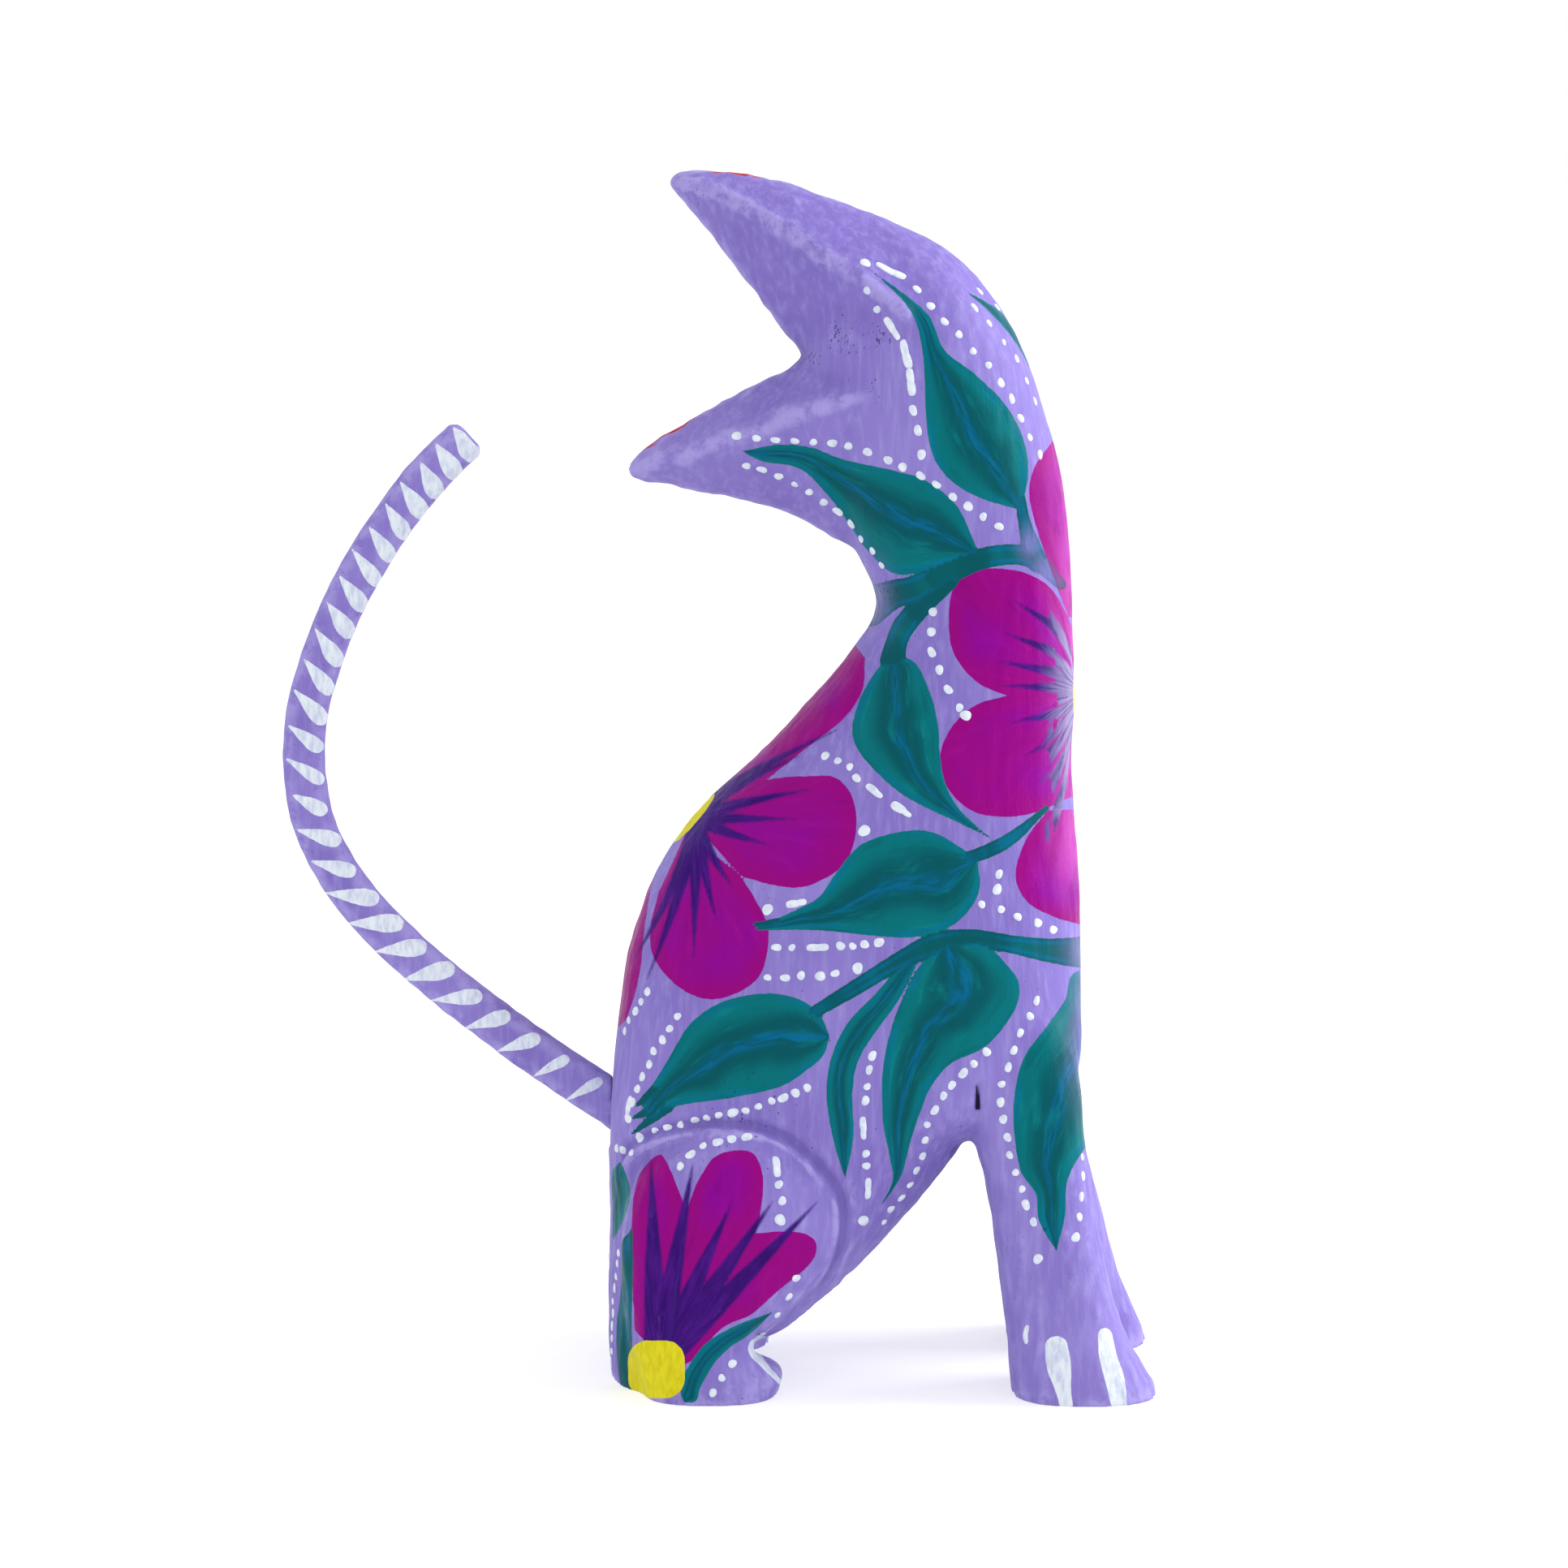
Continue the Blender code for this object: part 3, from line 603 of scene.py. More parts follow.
def normals(mesh):
    """The vertices' outward directions."""
    flat = np.empty(len(mesh.vertices) * 3, np.float32)
    mesh.vertex_normals.foreach_get("vector", flat)
    return flat.reshape(-1, 3).astype(float)


def pulled(mesh, pulls):
    """The vertices after being moved in turn by each pull, a share of the way to their neighbours' middle."""
    ends = np.empty(len(mesh.edges) * 2, np.int32)
    mesh.edges.foreach_get("vertices", ends)
    first, second = ends.reshape(-1, 2).T
    count = len(mesh.vertices)
    degree = np.maximum(np.bincount(first, minlength=count) + np.bincount(second, minlength=count), 1)
    points = places(mesh)
    for pull in pulls:
        for axis in range(3):
            column = points[:, axis]
            total = np.bincount(first, column[second], count) + np.bincount(second, column[first], count)
            points[:, axis] = column + pull * (total / degree - column)
    return points


def relax(mesh, rounds):
    """Smooths the facets away without shrinking: each round pulls the vertices in, then pushes them out."""
    put_places(mesh, pulled(mesh, RELAX_PULLS * rounds))


def convexity(mesh, rounds=30):
    """How far each vertex stands proud of its surroundings, in millimetres; negative in hollows."""
    return ((places(mesh) - pulled(mesh, (0.7,) * rounds)) * normals(mesh)).sum(1)


def knife_flats(points, depth, cell, seed):
    """Height of shallow flats left by a knife, low in the middle, high at the rim, longer along the grain."""
    draw = np.random.default_rng(SEED + seed)
    stretched = points * (1, 1, 0.55)
    centres = stretched[draw.choice(len(points), int(len(points) / cell**2), replace=False)]
    tree = KDTree(len(centres))
    for index, centre in enumerate(centres):
        tree.insert(centre, index)
    tree.balance()
    gaps = np.array([tree.find(point)[2] for point in stretched])
    return depth * (np.clip(gaps / cell, 0, 1) ** 2 - 0.4)


def keep_in_box(points, node):
    """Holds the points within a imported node's box."""
    low, high = (np.array(corner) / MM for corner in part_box(node))
    return np.clip(points, low, high)


# ---------------------------------------------------------------- the painter's plane

middle = (cad_low + cad_high) / 2 / MM
AIM = np.array([middle.x + AIM_FROM_MIDDLE, 0, cad_high.z / MM * AIM_SHARE_OF_HEIGHT])
RISE = math.radians(EYE_RISE_DEG)
FORWARD = np.array([0, math.cos(RISE), -math.sin(RISE)])
UPWARD = np.array([0, math.sin(RISE), math.cos(RISE)])
EYE = AIM - EYE_DISTANCE * FORWARD


def to_plane(points):
    """Where points appear on the painter's plane. The +Y half of the figure is seen in a mirror."""
    near = points.copy()
    near[:, 1] = -np.abs(near[:, 1])
    sight = near - EYE
    scale = EYE_DISTANCE / (sight @ FORWARD)
    return np.column_stack([AIM[0] + sight[:, 0] * scale, AIM[2] + (sight @ UPWARD) * scale])


def wander(spots, far):
    """How far the painting drifts on the far side, where the hand repeated the design by eye."""
    drift = np.column_stack([waves(spots, WANDER_SIZE, seed) for seed in (31, 32)])
    return FAR_SIDE_WANDER * drift * far[:, None]


def sight_line(spot, side):
    """A ray from the eye, or from its mirror image for side +1, through a spot of the painter's plane."""
    start = EYE * (1, -side, 1)
    through = AIM + (spot[0] - AIM[0]) * np.array([1, 0, 0]) + (spot[1] - AIM[2]) * UPWARD
    heading = (through - EYE) * (1, -side, 1)
    return Vector(start), Vector(heading).normalized()


# ---------------------------------------------------------------- paint on vertices


class Canvas:
    """One mesh's paint: for each kind, how far inside its edge every vertex lies, and the brush's run."""

    KINDS = ("leaf", "petal", "streak", "yellow", "white", "red", "dark")

    def __init__(self, spots):
        self.spots = spots
        self.depth = {kind: np.full(len(spots), OUTSIDE) for kind in self.KINDS}
        self.flow = {kind: np.zeros((len(spots), 3)) for kind in ("leaf", "petal")}

    def around(self, line, margin=PAINT_MARGIN):
        """The vertices near a line, by number."""
        low = line[:, :2].min(0) - margin
        high = line[:, :2].max(0) + margin
        return np.nonzero(((self.spots > low) & (self.spots < high)).all(1))[0]

    def lay(self, kind, where, depth, flow=None):
        """Adds paint of a kind where it lies deeper than what is there."""
        deeper = depth > self.depth[kind][where]
        chosen = where[deeper]
        self.depth[kind][chosen] = depth[deeper]
        if flow is not None:
            self.flow[kind][chosen] = flow[deeper]

    def leaf(self, first, second, number, kind="leaf", limit=None):
        """A leaf between its two edges, both from tip to stem. The number sets its brush marks apart."""
        edges = [smooth_line(edge) for edge in (first, second)]
        outline = np.vstack([edges[0], edges[1][::-1]])
        where = self.around(outline)
        spots = self.spots[where]
        gaps = [nearest_on(edge, spots)[0] for edge in edges]
        midline = (spaced(edges[0], MIDLINE_PLACES) + spaced(edges[1], MIDLINE_PLACES)) / 2
        run = nearest_on(midline, spots)[2]
        across = LEAF_BRUSH_WIDTH * (gaps[0] - gaps[1]) / np.maximum(gaps[0] + gaps[1], 0.01)
        flow = np.column_stack([across, run, np.full(len(where), FLOW_APART * number)])
        depth = depth_in(outline, spots)
        if limit is not None:
            depth = np.minimum(depth, limit[where])
        self.lay(kind, where, depth, flow if kind in self.flow else None)

    def stroke(self, points, kind, number=0, limit=None):
        """One stroke of the brush, from places with a half width."""
        line = smooth_line(points)
        where = self.around(line, PAINT_MARGIN + line[:, 2].max())
        depth, run = depth_in_stroke(line, self.spots[where])
        if limit is not None:
            depth = np.minimum(depth, limit[where])
        flow = None
        if kind in self.flow:
            flow = np.column_stack([STEM_ACROSS + 0 * run, run, np.full(len(where), FLOW_APART * number)])
        self.lay(kind, where, depth, flow)

    def petal(self, edge, closing, middle, number):
        """A petal with a smooth edge, closed by straight lines, its brush marks running from the middle."""
        outline = np.vstack([smooth_line(edge), np.array(closing, float)])
        where = self.around(outline)
        offset = self.spots[where] - middle
        angle = np.arctan2(offset[:, 1], offset[:, 0])
        reach = np.linalg.norm(offset, axis=1)
        flow = np.column_stack([PETAL_FAN * angle, reach, np.full(len(where), FLOW_APART * number)])
        self.lay("petal", where, depth_in(outline, self.spots[where]), flow)

    def mask(self, kinds, limit):
        """Keeps paint of these kinds no deeper than limit says."""
        for kind in kinds:
            self.depth[kind] = np.minimum(self.depth[kind], limit)

    def store(self, mesh, extra):
        """Writes everything on the mesh as attributes for the material."""
        for name, values in {**self.depth, **extra}.items():
            layer = mesh.attributes.new(name, "FLOAT", "POINT")
            layer.data.foreach_set("value", values.astype(np.float32))
        for name, values in self.flow.items():
            layer = mesh.attributes.new(name + "_flow", "FLOAT_VECTOR", "POINT")
            layer.data.foreach_set("vector", values.astype(np.float32).ravel())


def streak_line(middle, tip, half_width, bend):
    """A dark streak from a flower's middle to its pointed tip; bend makes it curve as it crosses a ridge."""
    t = np.array([0, 0.25, 0.5, 0.75, 1.0])
    a = middle[0] + (tip[0] - middle[0]) * t ** (1 + bend)
    b = middle[1] + (tip[1] - middle[1]) * t
    width = half_width * np.array(STREAK_TAPER)
    return list(zip(a, b, width))


def paint_plants(canvas, limits):
    """Leaves, stems, petals, streaks and white brush marks."""
    for number, (name, (first, second)) in enumerate(LEAVES.items()):
        canvas.leaf(first, second, number, limit=limits.get(name))
    for number, (name, points) in enumerate(STEMS.items()):
        canvas.stroke(points, "leaf", number + len(LEAVES), limit=limits.get(name))
    for number, flower in enumerate(FLOWERS.values()):
        for part, (edge, closing) in enumerate(flower["petals"]):
            canvas.petal(edge, closing, flower["middle"], 7 * number + part)
        for tip in flower["streaks"]:
            line = streak_line(flower["streaks_from"], tip, flower["streak_half_width"], flower["bend"])
            canvas.stroke(line, "streak")
    for stroke in WHITE_STROKES:
        canvas.stroke(stroke, "white")


def rounded_box_depth(spots, middle, half, corner):
    """How far inside a rectangle with round corners each spot lies."""
    over = np.abs(spots - middle) - (np.array(half) - corner)
    outer = np.linalg.norm(np.maximum(over, 0), axis=1)
    return corner - outer - np.minimum(over.max(1), 0)


def paint_flower_eyes(canvas, points, tree):
    """The yellow middles: a rounded square on the haunch, and rounds across the ridges of chest and back."""
    everywhere = np.arange(len(points))
    square = rounded_box_depth(canvas.spots, HAUNCH_CENTRE, HAUNCH_CENTRE_HALF, HAUNCH_CENTRE_CORNER)
    canvas.lay("yellow", everywhere, np.minimum(square, np.abs(points[:, 1]) - HAUNCH_CENTRE_Y))
    for name, start_x in (("chest", 200.0), ("back", -200.0)):
        flower = FLOWERS[name]
        origin = Vector((start_x, 0, flower["middle"][1]))
        ridge = tree.ray_cast(origin, Vector((-math.copysign(1, start_x), 0, 0)))[0]
        reach = np.linalg.norm(points - np.array(ridge), axis=1)
        canvas.lay("yellow", everywhere, flower["eye"] - reach)


def paint_chest_fan(canvas, points, outward):
    """The chest flower's dark streaks where the chest faces forwards: a fan from its eye to both sides."""
    flower = FLOWERS["chest"]
    start_a, start_b = flower["streaks_from"]
    fan = Canvas(np.column_stack([np.abs(points[:, 1]), points[:, 2]]))
    root, half, full = FAN_HALF_WIDTHS
    for tip_a, tip_b in flower["streaks"]:
        share = ((start_a - FAN_EDGE) / (start_a - tip_a)) ** (1 / (1 + flower["bend"]))
        end = start_b + (tip_b - start_b) * share
        middle = start_b + (end - start_b) * 0.5
        fan.stroke(((0.5, start_b, root), (FAN_REACH / 2, middle, half), (FAN_REACH, end, full)), "streak")
    x, _, z = points.T
    on_chest = (x > CHEST_MIN_X) & (z > CHEST_HEIGHTS[0]) & (z < CHEST_HEIGHTS[1])
    front = (outward[:, 0] > CHEST_FACING) & on_chest
    canvas.depth["streak"][front] = fan.depth["streak"][front]


def wrap_limits(points):
    """Where the motifs that run over an edge of the figure end on its other face, for each vertex."""
    _, y, z = points.T
    across = np.abs(y)
    limits = {name: NEAR_EDGE_Y - y for name in NEAR_ONLY}
    limits["neck_ridge"] = 3 * np.sin(np.clip((z - 150) / 32, 0, 1) * math.pi) - 2 - y
    limits["front_leg"] = across - CHEST_EDGE_Y - LEG_EDGE_Y * ease(-z, -60, -46)
    limits["bud"] = across - BUD_EDGE_Y - 0.02 * (z - 30) ** 2
    limits["petal_stem"] = across - STEM_EDGE_Y - np.minimum(0.024 * (z - 8) ** 2, 10)
    return limits


# ---------------------------------------------------------------- face


def face_frame(points):
    """Places across the face and up it, in its own frame."""
    lean = math.radians(HEAD_LEAN_DEG)
    x = points[:, 0] - FACE_MIDDLE[0]
    z = points[:, 2] - FACE_MIDDLE[1]
    across = x * math.sin(lean) + z * math.cos(lean)
    up = z * math.sin(lean) - x * math.cos(lean)
    return np.column_stack([across, up])


def lens_depth(spots, middle, length, height, tilt_deg):
    """How far inside an almond shape each spot lies."""
    tilt = math.radians(tilt_deg)
    offset = spots - middle
    x = offset[:, 0] * math.cos(tilt) + offset[:, 1] * math.sin(tilt)
    y = -offset[:, 0] * math.sin(tilt) + offset[:, 1] * math.cos(tilt)
    radius = (length**2 / 4 + height**2 / 4) / height
    drop = radius - height / 2
    return np.minimum(radius - np.hypot(x, y + drop), radius - np.hypot(x, y - drop))


def mirrored(points, side):
    """Places on the face's left half, and on its right half for side -1."""
    return [(side * point[0], *point[1:]) for point in points]


def paint_eye(face, side):
    """A white almond with a dark rim, a yellow iris and a slit pupil."""
    everywhere = np.arange(len(face.spots))
    eye = (side * EYE_PLACE[0], EYE_PLACE[1])
    almond = lens_depth(face.spots, eye, *EYE_SIZE, EYE_TILT_DEG * side)
    iris = IRIS_RADIUS - np.linalg.norm(face.spots - eye, axis=1)
    pupil = lens_depth(face.spots, eye, *PUPIL_SIZE, 90)
    face.lay("white", everywhere, almond)
    face.lay("yellow", everywhere, np.minimum(iris, almond - 0.3))
    face.lay("dark", everywhere, np.maximum(pupil, EYE_RIM - np.abs(almond)))


def face_canvas(points):
    """A plain cat's face on the +Y side of the head."""
    face = Canvas(face_frame(points))
    for side in (-1, 1):
        paint_eye(face, side)
        face.stroke(mirrored(BROW, side), "streak")
        face.leaf(mirrored(CHEEK_INNER, side), mirrored(CHEEK_OUTER, side), 40 + side)
        face.stroke(mirrored(MOUTH, side), "dark")
        for drop in range(WHISKERS):
            root, bend, tip = -3.6 - 1.3 * drop, -3.2 - 2 * drop, -3.4 - 2.9 * drop
            face.stroke(mirrored(((5, root, 0.26), (9.5, bend, 0.3), (14, tip, 0.05)), side), "white")
        face.petal(mirrored(CREST, side), ((0, 18),), (0, 12), 60 + side)
    face.lay("red", np.arange(len(points)), depth_in(smooth_line(NOSE), face.spots))
    face.stroke(NOSE_LINE, "dark")
    face.mask(face.KINDS, 4 * (points[:, 1] - FACE_EDGE_Y))
    face.mask(face.KINDS, 0.5 * (points[:, 2] - FACE_START_Z))
    return face


def ear_canvas(points, outward):
    """The red insides of the ears, reaching over parts of their rims."""
    x, y, z = points.T
    lining = Canvas(points[:, (0, 2)])
    for first, second in EAR_LININGS:
        lining.leaf(first, second, 0, "red")
    over_rim = 0
    for middle, reach, low, high in RED_RIMS:
        over_rim = over_rim + 1.5 * np.exp(-(((x - middle) / reach) ** 4)) * (z > low) * (z < high)
    ragged = 0.25 * waves(points, 2.5, 21)
    inward = np.maximum(4 * (outward[:, 1] - 0.15), 2 * (y - 0.9))
    lining.mask(("red",), inward + over_rim + ragged)
    return lining


def paint_head(canvas, points, outward):
    """Lays the face and the ears' insides over what is painted already."""
    face = face_canvas(points)
    lining = ear_canvas(points, outward)
    for kind in Canvas.KINDS:
        deepest = np.maximum(face.depth[kind], lining.depth[kind])
        new = deepest > canvas.depth[kind]
        canvas.depth[kind][new] = deepest[new]
        if kind in canvas.flow:
            canvas.flow[kind][new] = face.flow[kind][new]


# ---------------------------------------------------------------- body


def thigh_relief(points, spots, side_facing):
    """The raised rim along the thigh's edge and the groove cut beside it, as a height for each vertex."""
    rim = smooth_line(THIGH_RIM)
    a, b = spots.T
    outside = np.abs(points[:, 1]) > THIGH_FROM_Y
    near = np.nonzero((a < THIGH_REACH[0]) & (b < THIGH_REACH[1]) & (side_facing > 0.1) & outside)[0]
    gap = nearest_on(rim, spots[near])[0]
    inner = inside(np.vstack([rim, [THIGH_MIDDLE]]), spots[near])
    inner |= inside(np.vstack([rim, [THIGH_FOOT]]), spots[near])
    depth = np.where(inner, gap, -gap)
    raised = RIM_RISE * np.exp(-(((depth - RIM_PLACE) / RIM_WIDTH) ** 2))
    sunk = GROOVE_DEPTH * np.exp(-(((depth + RIM_PLACE) / GROOVE_WIDTH) ** 2))
    relief = np.zeros(len(points))
    relief[near] = (raised - sunk) * ease(side_facing[near], 0.1, 0.4)
    return relief


def carve_body(mesh):
    """Knife flats, the grain's ripple, rough ears, the saw cut, the thigh's rim and the sharp notches."""
    points = places(mesh)
    outward = normals(mesh)
    spots = to_plane(points)
    side_facing = outward[:, 1] * np.sign(points[:, 1])
    height = knife_flats(points, *BODY_FLATS, 1)
    height += 0.05 * waves(points * (1, 1, 0.3), 1.3, 2) * (1 + ease(-points[:, 2], -70, -30))
    height += 0.08 * waves(points * (1, 1, 0.5), 4.0, 3)
    height += on_ears(points, spots) * (0.09 * waves(points, 1.8, 4) + 0.14 * waves(points, 5.0, 5))
    sawn = np.clip(depth_in_stroke(np.array(KERF), spots)[0] + 0.3, 0, 0.7)
    height -= KERF_DENT * sawn * (points[:, 1] < KERF_MAX_Y)
    height += thigh_relief(points, spots, side_facing)
    points += outward * (height * ease(points[:, 2], 0.0, FOOT_EASE))[:, None]
    for notch, depth, spread in NOTCHES:
        points[:, 0] += depth * patches(spots, [(notch, spread, 1)])
    points[:, 2] = np.where(points[:, 2] < GROUND_SNAP, 0, points[:, 2])
    put_places(mesh, keep_in_box(points, "carved_body"))


def wear_and_sheen(mesh, points, spots):
    """Open pores and bare wood, how the wood under the paint lies, and where a sheen is painted on leaf edges
    and on the front of the chest.
    """
    return {
        "pores": patches(spots, PORE_GROUPS), "bare": bare_in_socket(points), "ridge": convexity(mesh),
        "ears": on_ears(points, spots), "leaf_sheen": patches(spots, LEAF_SHEEN_PLACES),
        "chest_sheen": ease(spots[:, 0], *CHEST_SHEEN_ACROSS) * ease(points[:, 2], *CHEST_SHEEN_ABOVE),
    }


def paint_body(mesh, tree):
    """The plants on both sides, the plain inner faces of the legs, the head, and painted shade in the saw
    cut.
    """
    points = places(mesh)
    outward = normals(mesh)
    x, y, z = points.T
    far = ease(y, *FAR_BLEND) * ease(outward[:, 0], *BACK_FACING)
    spots = to_plane(points)
    spots += wander(spots, far)
    canvas = Canvas(spots)
    paint_plants(canvas, wrap_limits(points))
    paint_flower_eyes(canvas, points, tree)
    paint_chest_fan(canvas, points, outward)
    inner_face = ease(-outward[:, 1] * np.sign(y), 0.1, 0.5) * ease(-z, -LEG_TOP, LEG_FADE - LEG_TOP)
    canvas.mask(("leaf", "petal", "streak", "yellow"), INSIDE - 6 * inner_face)
    canvas.mask(("white",), np.where(z < 20, INSIDE - 7 * inner_face, INSIDE))
    in_ear = (x < 13) & (z > 143) & (outward[:, 1] > 0.15)
    canvas.mask(("leaf",), np.where(in_ear, OUTSIDE, INSIDE))
    paint_head(canvas, points, outward)
    # Painted shade: a dark line down the saw cut, where the narrow slit lies in shadow
    canvas.stroke(KERF, "dark", limit=np.where(y < KERF_MAX_Y, INSIDE, OUTSIDE))
    canvas.store(mesh, wear_and_sheen(mesh, points, spots))


def on_ears(points, spots):
    """1 on the ears, 0 elsewhere."""
    return ease(points[:, 2], *EARS_ABOVE) * ease(-spots[:, 0], *EARS_BEFORE)


def seat_x():
    """Where the tail's flat end meets the back."""
    return np.array(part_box("tail")[1])[0] / MM


def bare_in_socket(points):
    """1 on the wood inside the tail's socket, which the brush never reached."""
    low, high = (np.array(corner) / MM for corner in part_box("tail_peg"))
    axis = np.array(frame["joints"][0]["axis"], float)
    offset = points - (low + high) / 2
    along = offset @ axis
    across = np.linalg.norm(offset - along[:, None] * axis, axis=1)
    x = points[:, 0]
    deepest = high[0] + DOWEL_DIAMETER
    in_hole = across < SOCKET_REACH * DOWEL_DIAMETER
    return (in_hole & (x > seat_x() - SOCKET_LIP) & (x < deepest)).astype(float)


def make_body():
    """The carved and painted body, and a lookup of the nearest place on it."""
    piece = fine_copy("carved_body", "painted_body", BODY_VOXEL)
    relax(piece.data, BODY_RELAX_ROUNDS)
    carve_body(piece.data)
    tree = skin_tree(piece.data)
    paint_body(piece.data, tree)
    return piece, tree


def skin_tree(mesh):
    """A lookup of the nearest place on a mesh, in millimetres."""
    mesh.calc_loop_triangles()
    corners = np.empty(len(mesh.loop_triangles) * 3, np.int32)
    mesh.loop_triangles.foreach_get("vertices", corners)
    return BVHTree.FromPolygons(places(mesh).tolist(), corners.reshape(-1, 3).tolist())


# ---------------------------------------------------------------- raised white dots


class DotMesh:
    """Blobs of thick white paint that follow the skin below them."""

    def __init__(self, tree):
        self.tree = tree
        self.draw = np.random.default_rng(SEED)
        self.vertices = []
        self.faces = []

    def blob(self, centre, normal, along, stretch, radius):
        """One blob: a low dome, stretched by half a dash's length each way along its row."""
        normal = Vector(normal)
        first = Vector(along) - normal * normal.dot(Vector(along))
        first.normalize()
        second = normal.cross(first)
        angles = np.linspace(0, 2 * math.pi, DOT_SIDES, endpoint=False)
        phase = self.draw.uniform(0, 2 * math.pi, 2)
        outline = radius * (1 + 0.09 * np.sin(2 * angles + phase[0]) + 0.05 * np.sin(3 * angles + phase[1]))
        start = len(self.vertices)
        self.vertices.append(self.on_skin(centre, DOT_RISE))
        for ring in DOT_RINGS:
            rise = DOT_RISE * (1 - ring**2) ** 0.55 - DOT_SINK * ring**6
            for angle, reach in zip(angles, outline * ring):
                x = math.cos(angle) * reach + stretch * max(-1, min(1, 1.6 * math.cos(angle)))
                y = math.sin(angle) * reach
                self.vertices.append(self.on_skin(Vector(centre) + first * x + second * y, rise))
        for side in range(DOT_SIDES):
            after = (side + 1) % DOT_SIDES
            self.faces.append((start, start + 1 + side, start + 1 + after))
            for ring in range(len(DOT_RINGS) - 1):
                base = start + 1 + ring * DOT_SIDES
                outer = base + DOT_SIDES
                self.faces.append((base + side, outer + side, outer + after, base + after))

    def on_skin(self, spot, rise):
        """The skin's nearest place to a spot, raised along its normal."""
        place, normal, _, _ = self.tree.find_nearest(Vector(spot))
        return place + normal * rise

    def at(self, spot, side, along_spot, radius, stretch=0.0):
        """A blob where the painter's plane says, its long way towards along_spot."""
        centre, normal, _, _ = self.tree.ray_cast(*sight_line(spot, side))
        if centre is None:
            return
        ahead = self.tree.ray_cast(*sight_line(along_spot, side))[0]
        along = (ahead - centre) if ahead is not None else Vector((0, 0, 1))
        if along.length < 1e-3:
            along = Vector((0, 0, 1))
        self.blob(centre, normal, along, stretch, radius * self.draw.uniform(*DOT_SIZES))

    def row(self, points, count, side):
        """Dots along a smooth line, a little uneven."""
        stops = spaced(smooth_line(points), count)
        step = np.linalg.norm(stops[1] - stops[0])
        stops = stops + self.draw.normal(0, 0.05 * step, stops.shape)
        for index, spot in enumerate(stops):
            ahead = stops[index + 1] if index < count - 1 else 2 * spot - stops[index - 1]
            self.at(spot, side, ahead, DOT_RADIUS, stretch=self.draw.choice((0, 0.04, 0.1, 0.2)))

    def dash(self, start, end, side):
        """A dash laid with two presses of the brush."""
        start, end = np.array(start), np.array(end)
        half = np.linalg.norm(end - start) / 2
        self.at(start * 0.75 + end * 0.25, side, end, DOT_RADIUS * 1.02, stretch=half * 0.55)
        self.at(start * 0.2 + end * 0.8, side, end, DOT_RADIUS * 0.9, stretch=half * 0.5)

    def to_object(self, name, node):
        """All the blobs as one object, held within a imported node's box."""
        mesh = bpy.data.meshes.new(name)
        points = keep_in_box(np.array([tuple(v) for v in self.vertices]), node)
        mesh.from_pydata((points * MM).tolist(), [], self.faces)
        mesh.shade_smooth()
        return add_object(name, mesh)


def on_face_side(spot, side):
    """True for what would fall on the painted face."""
    return side > 0 and spot[1] > FACE_START_Z - 2


def far_spots(points):
    """Design places moved so that they match the drifting paint on the far side."""
    spots = np.array(points, float)
    return spots - wander(spots, ease(spots[:, 0], -16, -13))


def make_dots(tree):
    """All the raised dots and dashes, on both sides, the face and the back."""
    dots = DotMesh(tree)
    for side in (-1, 1):
        shift = far_spots if side > 0 else (lambda points: np.array(points, float))
        for points, count in DOT_ROWS:
            if not on_face_side(points[0], side):
                dots.row(shift(points), count, side)
        for spot in shift(BIG_DOTS):
            if not on_face_side(spot, side):
                dots.at(spot, side, spot + (0, 1), BIG_DOT_RADIUS)
        for ends in DASHES:
            if not on_face_side(ends[0], side):
                dots.dash(*shift(ends), side)
    face_dots(dots)
    back_dots(dots)
    return dots.to_object("white_dots", "carved_body")


def from_face(across, up):
    """A place on the painter's far plane, x and z, from a place on the face."""
    lean = math.radians(HEAD_LEAN_DEG)
    return (
        FACE_MIDDLE[0] + across * math.sin(lean) - up * math.cos(lean),
        FACE_MIDDLE[1] + across * math.cos(lean) + up * math.sin(lean),
    )


def face_dots(dots):
    """Dots over the brows, round the face's edge and down the nose."""
    rows = [(mirrored(points, side), count) for side in (-1, 1) for points, count in (BROW_DOTS, CHEEK_DOTS)]
    for points, count in rows + [NOSE_DOTS]:
        for across, up in spaced(smooth_line(points), count):
            x, z = from_face(across, up)
            centre, normal, _, _ = dots.tree.ray_cast(Vector((x, 100, z)), Vector((0, -1, 0)))
            if centre is not None and centre.y > 3:
                radius = DOT_RADIUS * dots.draw.uniform(0.85, 1.1)
                dots.blob(centre, normal, Vector((0.3, 0, 1)), 0.1, radius)


def back_dots(dots):
    """A tapering row down the middle of the back, below the tail."""
    for index, height in enumerate(np.linspace(*BACK_ROW_HEIGHTS, BACK_ROW_DOTS)):
        centre, normal, _, _ = dots.tree.ray_cast(Vector((-200, 0, height)), Vector((1, 0, 0)))
        dots.blob(centre, normal, Vector((0, 0, 1)), 0.1, BIG_DOT_RADIUS * (1.25 - 0.06 * index))


# ---------------------------------------------------------------- tail and peg


def teardrop(centre, heading, length, half_width):
    """A pointed drop, from its point to its round end."""
    return [(*(centre + heading * length * share), half_width * width) for share, width in DROP_OUTLINE]


def carve_tail(mesh):
    """Knife flats and ripple, fading out at the seat."""
    points = places(mesh)
    height = knife_flats(points, *TAIL_FLATS, 11)
    height += 0.05 * waves(points, 2.0, 12)
    height += 0.05 * waves(points, 6.0, 13)
    height *= ease(seat_x() - points[:, 0], 0.6, 2.0)
    put_places(mesh, keep_in_box(points + normals(mesh) * height[:, None], "tail"))


